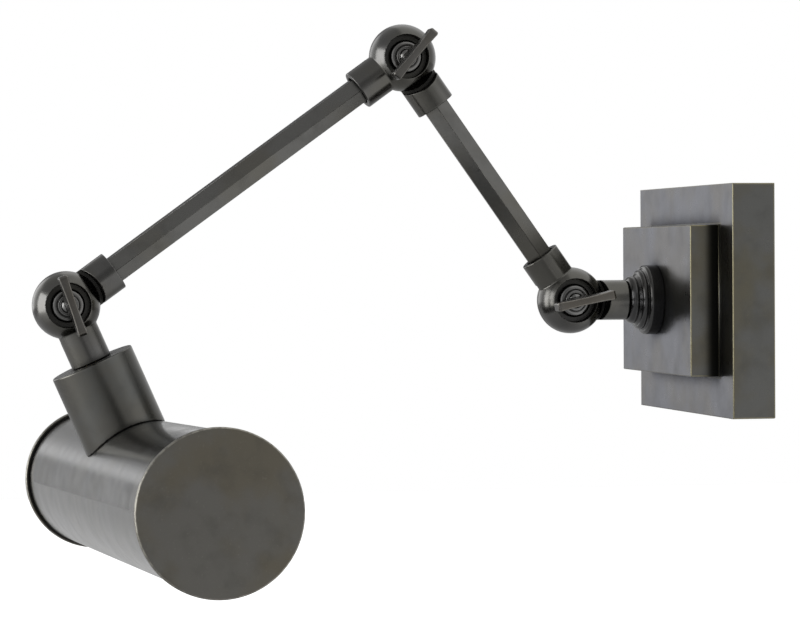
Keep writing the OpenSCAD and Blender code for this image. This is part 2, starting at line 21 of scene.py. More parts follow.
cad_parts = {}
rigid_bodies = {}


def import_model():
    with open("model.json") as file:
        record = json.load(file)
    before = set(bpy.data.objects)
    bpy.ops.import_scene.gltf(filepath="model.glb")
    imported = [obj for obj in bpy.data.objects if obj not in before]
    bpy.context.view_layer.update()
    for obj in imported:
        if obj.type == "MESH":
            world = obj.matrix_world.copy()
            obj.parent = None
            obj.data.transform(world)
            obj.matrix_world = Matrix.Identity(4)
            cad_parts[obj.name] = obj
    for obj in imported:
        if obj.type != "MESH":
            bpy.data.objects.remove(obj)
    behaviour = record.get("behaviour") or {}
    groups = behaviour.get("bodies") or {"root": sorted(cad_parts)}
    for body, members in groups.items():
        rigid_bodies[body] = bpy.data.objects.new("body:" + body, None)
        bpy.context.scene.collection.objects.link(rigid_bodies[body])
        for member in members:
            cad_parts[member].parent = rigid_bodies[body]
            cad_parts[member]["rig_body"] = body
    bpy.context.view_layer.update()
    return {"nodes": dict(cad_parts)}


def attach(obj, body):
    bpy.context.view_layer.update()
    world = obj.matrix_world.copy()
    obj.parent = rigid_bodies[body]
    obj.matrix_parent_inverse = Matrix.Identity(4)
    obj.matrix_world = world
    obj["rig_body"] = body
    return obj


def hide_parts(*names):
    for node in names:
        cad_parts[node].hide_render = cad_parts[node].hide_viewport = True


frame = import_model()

MM = 0.001
FULL_TURN = 2 * math.pi

# How sharply a face bends, in radians per millimetre, where wear starts and how fast it grows
EDGE_STARTS = 0.45
EDGE_RISE = 0.9
SHORTEST_EDGE = 0.02

Colour = tuple[float, float, float]
Corner = tuple[float, float, float]
Point2 = tuple[float, float]
Field = Callable[[np.ndarray, np.ndarray, np.ndarray], np.ndarray]

log = logging.getLogger("wall_lamp")


# Node trees

class Value:
    """A number inside a node tree. Python's operators on it add Math nodes."""

    def __init__(self, graph: Graph, socket: bpy.types.NodeSocket) -> None:
        """Wraps one output socket of a tree."""
        self.graph = graph
        self.socket = socket

    def math(self, operation: str, *operands: Any) -> Value:
        """One Math node's result, from its inputs in order."""
        return self.graph.value("ShaderNodeMath", 0, {"operation": operation}, dict(enumerate(operands)))

    def __add__(self, other: Any) -> Value:
        """Sum."""
        return self.math("ADD", self, other)

    def __sub__(self, other: Any) -> Value:
        """Difference."""
        return self.math("SUBTRACT", self, other)

    def __rsub__(self, other: Any) -> Value:
        """Difference from a plain number."""
        return self.math("SUBTRACT", other, self)

    def __mul__(self, other: Any) -> Value:
        """Product."""
        return self.math("MULTIPLY", self, other)

    def __truediv__(self, other: Any) -> Value:
        """Quotient."""
        return self.math("DIVIDE", self, other)

    def __mod__(self, other: Any) -> Value:
        """Remainder."""
        return self.math("MODULO", self, other)

    __radd__ = __add__
    __rmul__ = __mul__

    def highest(self, other: Any) -> Value:
        """The larger of two."""
        return self.math("MAXIMUM", self, other)

    def band(self, low: float, high: float) -> Value:
        """Rises smoothly from 0 at low to 1 at high.

        Args:
            low: Where the rise starts.
            high: Where it ends.

        Returns:
            The value from 0 to 1.
        """
        settings = {"interpolation_type": "SMOOTHSTEP"}
        inputs = {"Value": self, "From Min": low, "From Max": high}
        return self.graph.value("ShaderNodeMapRange", 0, settings, inputs)


class Graph:
    """A node tree of any kind, built by plain calls."""

    def __init__(self, tree: bpy.types.NodeTree) -> None:
        """Empties the tree, to fill it."""
        self.tree = tree
        tree.nodes.clear()

    def node(
        self,
        kind: str,
        settings: dict[str, Any] | None = None,
        inputs: dict[Any, Any] | None = None,
    ) -> bpy.types.Node:
        """Adds a node.

        Args:
            kind: The node's type.
            settings: Its own settings, set first. A ramp's are its stops.
            inputs: What each input gets: a plain value, a socket or a Value.

        Returns:
            The node.
        """
        made = self.tree.nodes.new(kind)
        for name, value in (settings or {}).items():
            if name == "stops":
                self._fill_ramp(made.color_ramp, value)
            else:
                setattr(made, name, value)
        for key, value in (inputs or {}).items():
            source = value.socket if isinstance(value, Value) else value
            if isinstance(source, bpy.types.NodeSocket):
                self.tree.links.new(source, made.inputs[key])
            else:
                made.inputs[key].default_value = source
        return made

    @staticmethod
    def _fill_ramp(ramp: bpy.types.ColorRamp, stops: Iterable[Point2]) -> None:
        """Gives a ramp its stops, each a place and a level."""
        pairs = list(stops)
        for number, (spot, level) in enumerate(pairs):
            element = ramp.elements[number] if number in (0, 1) else ramp.elements.new(spot)
            element.position = spot
            element.color = (level, level, level, 1)

    def value(self, kind: str, output: Any = 0, settings: Any = None, inputs: Any = None) -> Value:
        """Adds a node, as node does, and wraps the output of this name or number."""
        return Value(self, self.node(kind, settings, inputs).outputs[output])

    def axes(self, output: str = "Object") -> tuple[Value, Value, Value]:
        """The three parts of a texture coordinate."""
        spot = self.node("ShaderNodeTexCoord").outputs[output]
        parts = self.node("ShaderNodeSeparateXYZ", None, {0: spot}).outputs
        return Value(self, parts["X"]), Value(self, parts["Y"]), Value(self, parts["Z"])

    def blend(self, share: Any, first: Any, second: Any) -> bpy.types.NodeSocket:
        """Mixes two colours or colour sockets, by the second one's share."""
        inputs = {0: share, 6: _rgba(first), 7: _rgba(second)}
        return self.node("ShaderNodeMix", {"data_type": "RGBA"}, inputs).outputs[2]

    def crevice_shade_mask(self, reach: float, alone: bool) -> Value:
        """How deep in a corner or a groove a point lies, by ambient occlusion, for painted shade there.

        Args:
            reach: How far a neighbouring face still counts, in metres.
            alone: Whether only the piece itself counts.

        Returns:
            0 on open faces, rising to 1 in deep corners.
        """
        settings = {"only_local": alone, "samples": 8}
        open_share = self.value("ShaderNodeAmbientOcclusion", "AO", settings, {"Distance": reach})
        return 1 - open_share.band(0.36, 0.97)

    def noise(self, scale: float, detail: float = 3, stretch: Colour = (1, 1, 1)) -> Value:
        """A noise on the piece's own coordinates.

        Args:
            scale: Features per metre.
            detail: How many finer octaves it has.
            stretch: The scale's share along each axis.

        Returns:
            The noise, around 0.5.
        """
        place = self.node("ShaderNodeTexCoord").outputs["Object"]
        mapped = self.node("ShaderNodeMapping", None, {"Vector": place, "Scale": stretch})
        inputs = {"Vector": mapped.outputs[0], "Scale": scale, "Detail": detail, "Roughness": 0.55}
        return self.value("ShaderNodeTexNoise", 0, None, inputs)


def _rgba(colour: Any) -> Any:
    """A plain colour with its alpha, or a socket as it is."""
    return (*colour, 1.0) if isinstance(colour, tuple) else colour


def node_group(name: str, inputs: dict[str, str], output: str) -> tuple[Graph, Any]:
    """Starts a geometry node tree that also takes a material.

    Args:
        name: The tree's name.
        inputs: Each input's name and the last word of its socket's type.
        output: The output's name.

    Returns:
        The tree's graph, and the inputs as the tree sees them.
    """
    tree = bpy.data.node_groups.new(name, "GeometryNodeTree")
    for label, kind in (*inputs.items(), ("Material", "Material")):
        tree.interface.new_socket(label, in_out="INPUT", socket_type="NodeSocket" + kind)
    tree.interface.new_socket(output, in_out="OUTPUT", socket_type="NodeSocketGeometry")
    graph = Graph(tree)
    return graph, graph.node("NodeGroupInput").outputs


def close_group(graph: Graph, geometry: bpy.types.NodeSocket, given: Any) -> None:
    """Ends a geometry node tree, with its instances made real and its material set.

    Args:
        graph: The tree's graph.
        geometry: What the tree has made.
        given: The tree's inputs.
    """
    real = graph.node("GeometryNodeRealizeInstances", None, {0: geometry})
    inputs = {0: real.outputs[0], "Material": given["Material"]}
    shown = graph.node("GeometryNodeSetMaterial", None, inputs)
    graph.node("NodeGroupOutput", None, {0: shown.outputs[0]})


# Finishes

class Slot(Enum):
    """The record's material slots."""

    BRONZE = "dark_bronze"
    BRASS = "bare_brass"
    ZINC = "zinc_steel"
    FIBRE = "fibre"
    PLASTIC = "holder_plastic"
    ALUMINIUM = "bright_aluminium"
    GLASS = "clear_glass"


@dataclass(frozen=True)
class Finish:
    """What every finish has: a name and the slot that it belongs to."""

    name: str
    slot: Slot

    def surface(self, graph: Graph) -> dict[str, Any]:
        """The inputs of the main shader; each finish gives its own."""
        raise NotImplementedError

    def material(self) -> bpy.types.Material:
        """Builds the material once and gives the same one after that.

        Returns:
            The material.
        """
        known = bpy.data.materials.get(self.name)
        if known is not None:
            return known
        made = bpy.data.materials.new(self.name)
        made.use_nodes = True
        graph = Graph(made.node_tree)
        shader = graph.node("ShaderNodeBsdfPrincipled", None, self.surface(graph))
        graph.node("ShaderNodeOutputMaterial", None, {"Surface": shader.outputs[0]})
        return made


@dataclass(frozen=True)
class Patina(Finish):
    """Metal with a chemical patina: two tones in patches, dark mottling and worn edges, with painted shade in
    its crevices and, where set, a painted shade band towards the wall.
    """

    cool: Colour
    warm: Colour
    dark: Colour
    worn: Colour
    roughness: float = 0.34
    patch_scale: float = 30
    mottle_scale: float = 75
    mottle_share: float = 0.4
    speck_scale: float = 900
    speck_share: float = 0.1
    scuff_scale: float = 420
    wear: float = 0.5
    scuffed: float = 0.65
    ripple: float = 0.05
    ripple_depth: float = 0.00006
    edge_tint: Colour = (0.8, 0.8, 0.81)
    # Painted shade in corners, grooves and recesses: how far the ambient occlusion looks, whether only the
    # piece counts, how much it darkens and the colour it darkens to.
    crevice_shade_reach: float = 0.004
    crevice_shade_alone: bool = True
    crevice_shade_share: float = 0.85
    crevice_shade_tone: Colour = (0.004, 0.004, 0.004)
    # Painted shade: a band along local Y, in metres, that darkens towards the wall, with its share and its
    # colour.
    painted_wall_shade: Point2 | None = None
    painted_wall_shade_share: float = 0.92
    painted_wall_shade_tone: Colour = (0.008, 0.008, 0.007)

    def surface(self, graph: Graph) -> dict[str, Any]:
        """Colour, roughness and ripple of the patina, with its painted shade.

        Args:
            graph: The material's tree.

        Returns:
            The main shader's inputs.
        """
        patches = graph.noise(self.patch_scale, 3)
        mottle = graph.noise(self.mottle_scale, 4)
        specks = graph.noise(self.speck_scale, 2)
        edge = graph.value("ShaderNodeAttribute", "Fac", {"attribute_name": "edge"})
        scuffs = graph.noise(self.scuff_scale, 3).band(0.4, 0.62)
        tone = graph.blend(patches.band(0.38, 0.62), self.cool, self.warm)
        tone = graph.blend(mottle.band(0.45, 0.8) * self.mottle_share, tone, self.dark)
        tone = graph.blend(specks.band(0.6, 0.8) * self.speck_share, tone, self.worn)
        rubbed = scuffs * self.scuffed + (1 - self.scuffed)
        tone = graph.blend(edge * rubbed * self.wear, tone, self.worn)
        # Painted shade: corners, grooves and recesses darken by ambient occlusion, and also grow rougher
        # there.
        hollow = graph.crevice_shade_mask(self.crevice_shade_reach, self.crevice_shade_alone)
        tone = graph.blend(hollow * self.crevice_shade_share, tone, self.crevice_shade_tone)
        # Painted shade: the faces nearest the wall darken.
        if self.painted_wall_shade:
            towards_wall = graph.axes()[1]
            tone = graph.blend(towards_wall.band(*self.painted_wall_shade) * self.painted_wall_shade_share, tone, self.painted_wall_shade_tone)
        roughness = (mottle - 0.5) * 0.16 + (specks - 0.5) * 0.06 + hollow * 0.2 + self.roughness
        height = mottle * 0.7 + specks * 0.3
        bump_inputs = {"Strength": self.ripple, "Distance": self.ripple_depth, "Height": height}
        bump = graph.node("ShaderNodeBump", None, bump_inputs)
        return {
            "Base Color": tone,
            "Metallic": 1.0,
            "Roughness": roughness,
            "Specular Tint": (*self.edge_tint, 1),
            "Normal": bump.outputs[0],
        }


@dataclass(frozen=True)
class Plain(Finish):
    """A plain metal, plastic or fibre with fine unevenness."""

    light: Colour
    dark: Colour
    metallic: float = 0.0
    roughness: float = 0.4
    grain_scale: float = 700
    ripple: float = 0.1
    stretch: Colour = (1, 1, 1)

    def surface(self, graph: Graph) -> dict[str, Any]:
        """Colour, roughness and grain.

        Args:
            graph: The material's tree.

        Returns:
            The main shader's inputs.
        """
        grain = graph.noise(self.grain_scale, 3, self.stretch)
        clouds = graph.noise(60, 2)
        bump_inputs = {"Strength": self.ripple, "Distance": 0.00005, "Height": grain}
        bump = graph.node("ShaderNodeBump", None, bump_inputs)
        share = clouds.band(0.35, 0.65) * 0.6 + grain.band(0.4, 0.7) * 0.4
        return {
            "Base Color": graph.blend(share, self.light, self.dark),
            "Metallic": self.metallic,
            "Roughness": (grain - 0.5) * 0.2 + self.roughness,
            "Normal": bump.outputs[0],
        }


@dataclass(frozen=True)
class Glass(Finish):
    """Clear glass with a faint waviness."""

    tint: Colour = (1.0, 0.99, 0.97)

    def surface(self, graph: Graph) -> dict[str, Any]:
        """Clear body with a slightly uneven surface.

        Args:
            graph: The material's tree.

        Returns:
            The main shader's inputs.
        """
        wave = graph.noise(90, 2)
        bump = graph.node("ShaderNodeBump", None, {"Strength": 0.05, "Distance": 0.0001, "Height": wave})
        return {
            "Base Color": (*self.tint, 1.0),
            "Roughness": wave * 0.03 + 0.01,
            "IOR": 1.46,
            "Transmission Weight": 1.0,
            "Normal": bump.outputs[0],
        }


# In every finish below, the crevice settings paint shade into corners, grooves and recesses.
PLATE = Patina(
    "patina_plate", Slot.BRONZE,
    cool=(0.09, 0.09, 0.086), warm=(0.088, 0.082, 0.064),
    dark=(0.052, 0.052, 0.049), worn=(0.2, 0.18, 0.105),
    roughness=0.3, wear=0.6, scuffed=0.3, edge_tint=(0.82, 0.83, 0.89),
    crevice_shade_reach=0.011, crevice_shade_alone=False, crevice_shade_share=1,
)
# The box's sides get painted shade that darkens towards the plate.
BOX = replace(PLATE, name="patina_box", painted_wall_shade=(-0.0315, -0.0262))
SHADE = Patina(
    "patina_shade", Slot.BRONZE,
    cool=(0.098, 0.1, 0.104), warm=(0.1, 0.097, 0.09),
    dark=(0.06, 0.06, 0.06), worn=(0.2, 0.19, 0.17),
    roughness=0.15, edge_tint=(1, 1, 1), crevice_shade_alone=False,
)
CAPS = Patina(
    "patina_caps", Slot.BRONZE,
    cool=(0.095, 0.092, 0.084), warm=(0.092, 0.084, 0.067),
    dark=(0.054, 0.052, 0.047), worn=(0.26, 0.25, 0.22),
    roughness=0.32, wear=0.7, crevice_shade_reach=0.007, crevice_shade_alone=False, crevice_shade_share=1,
)
NECK = Patina(
    "patina_neck", Slot.BRONZE,
    cool=(0.07, 0.071, 0.068), warm=(0.07, 0.068, 0.061),
    dark=(0.04, 0.04, 0.039), worn=(0.13, 0.125, 0.115),
    roughness=0.24, wear=0.2, edge_tint=(0.8, 0.8, 0.8), crevice_shade_alone=False,
)
CAST = Patina(
    "patina_knuckles", Slot.BRONZE,
    cool=(0.078, 0.077, 0.075), warm=(0.074, 0.072, 0.065),
    dark=(0.042, 0.042, 0.04), worn=(0.13, 0.128, 0.12),
    roughness=0.21, wear=0.2, edge_tint=(0.9, 0.9, 0.9),
    crevice_shade_reach=0.006, crevice_shade_alone=False, crevice_shade_share=0.48,
)
TURNED = Patina(
    "patina_turned", Slot.BRONZE,
    cool=(0.12, 0.12, 0.118), warm=(0.11, 0.108, 0.104),
    dark=(0.07, 0.07, 0.07), worn=(0.2, 0.198, 0.19),
    roughness=0.2, wear=0.15, edge_tint=(0.9, 0.9, 0.9), crevice_shade_reach=0.0012, crevice_shade_share=0.7,
)
ROSETTE = replace(
    TURNED, name="patina_rosette", crevice_shade_reach=0.0008,
    cool=(0.05, 0.05, 0.051), warm=(0.047, 0.046, 0.044),
    dark=(0.03, 0.03, 0.03), worn=(0.13, 0.128, 0.12),
)
LEVERS = Patina(
    "patina_levers", Slot.BRONZE,
    cool=(0.088, 0.085, 0.08), warm=(0.084, 0.077, 0.067),
    dark=(0.045, 0.044, 0.041), worn=(0.2, 0.19, 0.17),
    roughness=0.24, wear=0.3, edge_tint=(0.9, 0.9, 0.9),
)
RODS = Patina(
    "patina_rods", Slot.BRONZE,
    cool=(0.093, 0.092, 0.088), warm=(0.088, 0.085, 0.076),
    dark=(0.05, 0.05, 0.048), worn=(0.17, 0.165, 0.15),
    roughness=0.3, wear=0.35,
)
BRASS = Plain("bare_brass", Slot.BRASS, (0.62, 0.46, 0.2), (0.42, 0.3, 0.13), metallic=1, roughness=0.3)
ZINC = Plain(
    "zinc_plated_steel", Slot.ZINC, (0.55, 0.56, 0.55), (0.38, 0.39, 0.38), metallic=1, roughness=0.38,
)
FIBRE = Plain("washer_fibre", Slot.FIBRE, (0.2, 0.12, 0.06), (0.11, 0.065, 0.035), roughness=0.75)
PLASTIC = Plain("holder_plastic", Slot.PLASTIC, (0.7, 0.68, 0.62), (0.6, 0.58, 0.52), roughness=0.42)
ALUMINIUM = Plain(
    "bright_aluminium", Slot.ALUMINIUM, (0.85, 0.86, 0.87), (0.72, 0.73, 0.74), metallic=1, roughness=0.22,
    stretch=(0.02, 1, 1),
)
GLASS = Glass("bulb_glass_clear", Slot.GLASS)
FILAMENT = Plain("filament_wire", Slot.ZINC, (0.3, 0.28, 0.26), (0.2, 0.19, 0.18), metallic=1, roughness=0.5)


# Meshes

def mesh_from(points: np.ndarray, faces: Iterable[Iterable[int]], name: str = "shape") -> bpy.types.Mesh:
    """A mesh from points and faces.

    Args:
        points: One row for each vertex.
        faces: The vertex numbers of each face, seen from outside anticlockwise.
        name: The mesh's name.

    Returns:
        The mesh.
    """
    made = bpy.data.meshes.new(name)
    made.from_pydata(np.asarray(points, float).tolist(), [], [list(map(int, f)) for f in faces])
    made.update()
    return made


def evaluated(mesh: bpy.types.Mesh, modifiers: list[tuple[str, dict[str, Any]]]) -> bpy.types.Mesh:
    """Applies modifiers to a mesh.

    Args:
        mesh: The mesh, which is used up.
        modifiers: Each modifier's type and settings. A node tree's inputs are in "sockets".

    Returns:
        The resulting mesh.
    """
    holder = bpy.data.objects.new("holder", mesh)
    bpy.context.scene.collection.objects.link(holder)
    for kind, settings in modifiers:
        modifier = holder.modifiers.new(kind.lower(), kind)
        for name, value in settings.items():
            if name == "sockets":
                for label, content in value.items():
                    modifier[_identifier(modifier.node_group, label)] = content
            else:
                setattr(modifier, name, value)
    graph = bpy.context.evaluated_depsgraph_get()
    made = bpy.data.meshes.new_from_object(
        holder.evaluated_get(graph), preserve_all_data_layers=True, depsgraph=graph
    )
    bpy.data.objects.remove(holder)
    return made


def _identifier(tree: bpy.types.NodeTree, label: str) -> str:
    """The identifier of a tree's named input."""
    return next(
        item.identifier for item in tree.interface.items_tree
        if item.name == label and getattr(item, "in_out", "") == "INPUT"
    )


def combined(base: bpy.types.Mesh, other: bpy.types.Mesh, operation: str) -> bpy.types.Mesh:
    """Joins or cuts two closed meshes.

    Args:
        base: The mesh that stays.
        other: The mesh that is added or taken away.
        operation: UNION or DIFFERENCE.

    Returns:
        The combined mesh.
    """
    tool = bpy.data.objects.new("tool", other)
    bpy.context.scene.collection.objects.link(tool)
    tool.hide_render = True
    settings = {"operation": operation, "solver": "EXACT", "object": tool}
    made = evaluated(base, [("BOOLEAN", settings)])
    bpy.data.objects.remove(tool)
    return made


def softened(mesh: bpy.types.Mesh, width: float, segments: int = 2, angle: float = 32) -> bpy.types.Mesh:
    """Rounds a mesh's sharp edges and evens its normals.

    Args:
        mesh: The mesh.
        width: The rounding's width.
        segments: The rounding's steps.
        angle: The least angle of an edge that is rounded, in degrees.

    Returns:
        The rounded mesh.
    """
    bevel = {
        "width": width,
        "segments": segments,
        "limit_method": "ANGLE",
        "angle_limit": math.radians(angle),
        "use_clamp_overlap": False,
    }
    return evened(evaluated(mesh, [("BEVEL", bevel)]))


def evened(mesh: bpy.types.Mesh) -> bpy.types.Mesh:
    """Shades a mesh smooth, with normals weighted by the faces' areas."""
    mesh.polygons.foreach_set("use_smooth", np.ones(len(mesh.polygons), bool))
    return evaluated(mesh, [("WEIGHTED_NORMAL", {"mode": "FACE_AREA", "weight": 50})])


def values_of(rows: Any, name: str, width: int = 1, kind: type = float) -> np.ndarray:
    """One property of all a mesh's vertices, edges, corners or faces.

    Args:
        rows: The mesh's vertices, edges, loops or polygons.
        name: The property.
        width: How many numbers it has.
        kind: The numbers' type.

    Returns:
        The numbers, one row for each where the width isn't 1.
    """
    values = np.empty(len(rows) * width, kind)
    rows.foreach_get(name, values)
    return values if width == 1 else values.reshape(-1, width)


def mark_edges(mesh: bpy.types.Mesh) -> None:
    """Stores on each face how sharply it bends outwards, for the finish's wear.

    Args:
        mesh: The mesh, in millimetres.
    """
    corner_edges = values_of(mesh.loops, "edge_index", 1, int)
    totals = values_of(mesh.polygons, "loop_total", 1, int)
    owners = np.repeat(np.arange(len(mesh.polygons)), totals)
    order = np.argsort(corner_edges, kind="stable")
    edges_sorted = corner_edges[order]
    twice = np.nonzero(edges_sorted[1:] == edges_sorted[:-1])[0]
    first = owners[order[twice]]
    second = owners[order[twice + 1]]
    normals = values_of(mesh.polygons, "normal", 3)
    centres = values_of(mesh.polygons, "center", 3)
    areas = values_of(mesh.polygons, "area")
    points = values_of(mesh.vertices, "co", 3)
    ends = values_of(mesh.edges, "vertices", 2, int)[edges_sorted[twice]]
    lengths = np.linalg.norm(points[ends[:, 0]] - points[ends[:, 1]], axis=1) + 1e-9
    cosines = np.clip((normals[first] * normals[second]).sum(1), -1, 1)
    outward = (normals[first] * (centres[second] - centres[first])).sum(1) < 0
    width = (areas[first] + areas[second]) / (2 * lengths)
    bend = np.where(outward, np.arccos(cosines) / np.maximum(width, 1e-6), 0)
    bend = np.where(lengths > SHORTEST_EDGE, bend, 0)
    result = np.zeros(len(mesh.polygons))
    np.maximum.at(result, first, bend)
    np.maximum.at(result, second, bend)
    level = np.clip((result - EDGE_STARTS) / EDGE_RISE, 0, 1)
    attribute = mesh.attributes.new("edge", "FLOAT", "FACE")
    attribute.data.foreach_set("value", level.astype(np.float32))


def rounded(corners: list[Corner], step: float = 14) -> list[Point2]:
    """A line with each of its corners replaced by an arc.

    Args:
        corners: Each corner's place and its radius.
        step: The arcs' step in degrees.

    Returns:
        The rounded line's points.
    """
    points: list[Point2] = []
    count = len(corners)
    for number, (x, y, radius) in enumerate(corners):
        if radius <= 0:
            points.append((x, y))
            continue
        here = Vector((x, y))
        before = (Vector(corners[number - 1][:2]) - here).normalized()
        after = (Vector(corners[(number + 1) % count][:2]) - here).normalized()
        half = before.angle(after) / 2
        centre = here + (before + after).normalized() * (radius / math.sin(half))
        start = here + before * (radius / math.tan(half)) - centre
        end = here + after * (radius / math.tan(half)) - centre
        turn = math.atan2(start.x * end.y - start.y * end.x, start.dot(end))
        steps = max(2, math.ceil(abs(turn) / math.radians(step)))
        first = math.atan2(start.y, start.x)
        for k in range(steps + 1):
            a = first + turn * k / steps
            points.append((centre.x + radius * math.cos(a), centre.y + radius * math.sin(a)))
    return points


def arc(centre: Point2, radius: float, first: float, last: float, steps: int) -> list[Corner]:
    """Corners without rounding along an arc, from one angle to another in degrees."""
    angles = [math.radians(first + (last - first) * k / steps) for k in range(steps + 1)]
    return [(centre[0] + radius * math.cos(a), centre[1] + radius * math.sin(a), 0) for a in angles]


def outwards(mesh: bpy.types.Mesh) -> bpy.types.Mesh:
    """Turns every face of a mesh outwards.

    Args:
        mesh: The mesh, which is changed.

    Returns:
        The same mesh.
    """
    work = bmesh.new()
    work.from_mesh(mesh)
    bmesh.ops.recalc_face_normals(work, faces=work.faces)
    work.to_mesh(mesh)
    work.free()
    return mesh


class Lathe:
    """Turns profiles about local Z with a node tree, and cuts helical threads in them."""

    def __init__(self) -> None:
        """Builds the node tree."""
        inputs = {"Profile": "Geometry", "Segments": "Int", "Thread Depth": "Float", "Thread Pitch": "Float"}
        graph, given = node_group("turned", inputs, "Turned")
        self.tree = graph.tree
        profile = {"Geometry": given["Profile"]}
        segments = Value(graph, given["Segments"])
        rows = graph.value("GeometryNodeAttributeDomainSize", "Point Count", None, profile)
        grid = graph.node(
            "GeometryNodeMeshGrid", None, {"Vertices X": segments + 1, "Vertices Y": rows}
        ).outputs["Mesh"]
        index = graph.value("GeometryNodeInputIndex")
        column = (index / rows).math("FLOOR", index / rows)
        row = index % rows
        angle = column * FULL_TURN / segments
        place = self._sample(graph, given["Profile"], graph.node("GeometryNodeInputPosition").outputs[0], row)
        parts = graph.node("ShaderNodeSeparateXYZ", None, {0: place})
        flag = graph.node("GeometryNodeInputNamedAttribute", {"data_type": "FLOAT"}, {"Name": "thread"})
        threaded = Value(graph, self._sample(graph, given["Profile"], flag.outputs[0], row, "FLOAT"))
        radius = Value(graph, parts.outputs["X"])
        height = Value(graph, parts.outputs["Z"])
        phase = height / Value(graph, given["Thread Pitch"]) * FULL_TURN - angle
        groove = (phase.math("SINE", phase) - 1) * threaded * Value(graph, given["Thread Depth"]) * 0.5
        radius = radius + groove
        moved = graph.node("ShaderNodeCombineXYZ", None, {
            0: radius * angle.math("COSINE", angle),
            1: radius * angle.math("SINE", angle),
            2: height,
        })
        placed = graph.node("GeometryNodeSetPosition", None, {"Geometry": grid, "Position": moved.outputs[0]})
        merged = graph.node("GeometryNodeMergeByDistance", None, {0: placed.outputs[0], "Distance": 0.0005})
        close_group(graph, merged.outputs[0], given)

    @staticmethod
    def _sample(graph: Graph, source: Any, field: Any, row: Value, kind: str = "FLOAT_VECTOR") -> Any:
        """The field's value at one point of the profile."""
        settings = {"data_type": kind, "domain": "POINT"}
        inputs = {"Geometry": source, "Value": field, "Index": row}
        return graph.node("GeometryNodeSampleIndex", settings, inputs).outputs[0]

    def turn(
        self,
        profile: list[Point2],
        ring: bool = False,
        segments: int = 96,
        thread: tuple[float, float, float, float] | None = None,
    ) -> bpy.types.Mesh:
        """Turns a profile.

        Args:
            profile: Radius and height of each point, with the material on the left of the line.
            ring: Whether the profile closes on itself, as for a piece with a bore.
            segments: Steps round the axis.
            thread: Lowest and highest point of the thread, its depth and its pitch.

        Returns:
            The mesh.
        """
        points = list(profile)
        if ring:
            points.append(points[0])
        low, high, depth, pitch = thread or (0, 0, 0, 1)
        if thread:
            points = self._stations(points, low, high, pitch)
        mesh = mesh_from(np.array([(r, 0, h) for r, h in points]), [])
        flags = [1.0 if thread and low < h < high and r > 0 else 0.0 for r, h in points]
        outer = max(r for (r, _), flag in zip(points, flags) if flag) if thread else 0
        flags = [flag if abs(r - outer) < 0.01 else 0.0 for (r, _), flag in zip(points, flags)]
        mesh.attributes.new("thread", "FLOAT", "POINT").data.foreach_set("value", flags)
        sockets = {"Segments": segments, "Thread Depth": float(depth), "Thread Pitch": float(pitch)}
        made = evaluated(mesh, [("NODES", {"node_group": self.tree, "sockets": sockets})])
        made.materials.clear()
        return made

    @staticmethod
    def _stations(points: list[Point2], low: float, high: float, pitch: float) -> list[Point2]:
        """Divides a profile's upright walls finely enough for a thread.

        Args:
            points: The profile.
            low: The thread's lowest point.
            high: Its highest point.
            pitch: Its pitch, which is divided in eight.

        Returns:
            The profile with more points.
        """
        made = [points[0]]
        for (r0, h0), (r1, h1) in zip(points, points[1:]):
            upright = abs(r0 - r1) < 1e-6 and abs(h1 - h0) > pitch
            if upright and min(h0, h1) < high and max(h0, h1) > low:
                count = math.ceil(abs(h1 - h0) / pitch * 8)
                made += [(r0, h0 + (h1 - h0) * k / count) for k in range(1, count)]
            made.append((r1, h1))
        return made


class Ring:
    """Repeats a small piece evenly about local Z with a node tree."""

    def __init__(self) -> None:
        """Builds the node tree."""
        graph, given = node_group("ring", {"Piece": "Geometry", "Count": "Int"}, "Repeated")
        self.tree = graph.tree
        count = Value(graph, given["Count"])
        spots = graph.node("GeometryNodePoints", None, {"Count": count})
        turn = graph.value("GeometryNodeInputIndex") / count * FULL_TURN
        rotation = graph.node("ShaderNodeCombineXYZ", None, {2: turn})
        copies = graph.node("GeometryNodeInstanceOnPoints", None, {
            "Points": spots.outputs[0], "Instance": given["Piece"], "Rotation": rotation.outputs[0],
        })
        close_group(graph, copies.outputs[0], given)

    def repeat(self, piece: bpy.types.Mesh, count: int) -> bpy.types.Mesh:
        """A piece repeated, given in its place at the first angle."""
        made = evaluated(piece, [("NODES", {"node_group": self.tree, "sockets": {"Count": count}})])
        made.materials.clear()
        return made


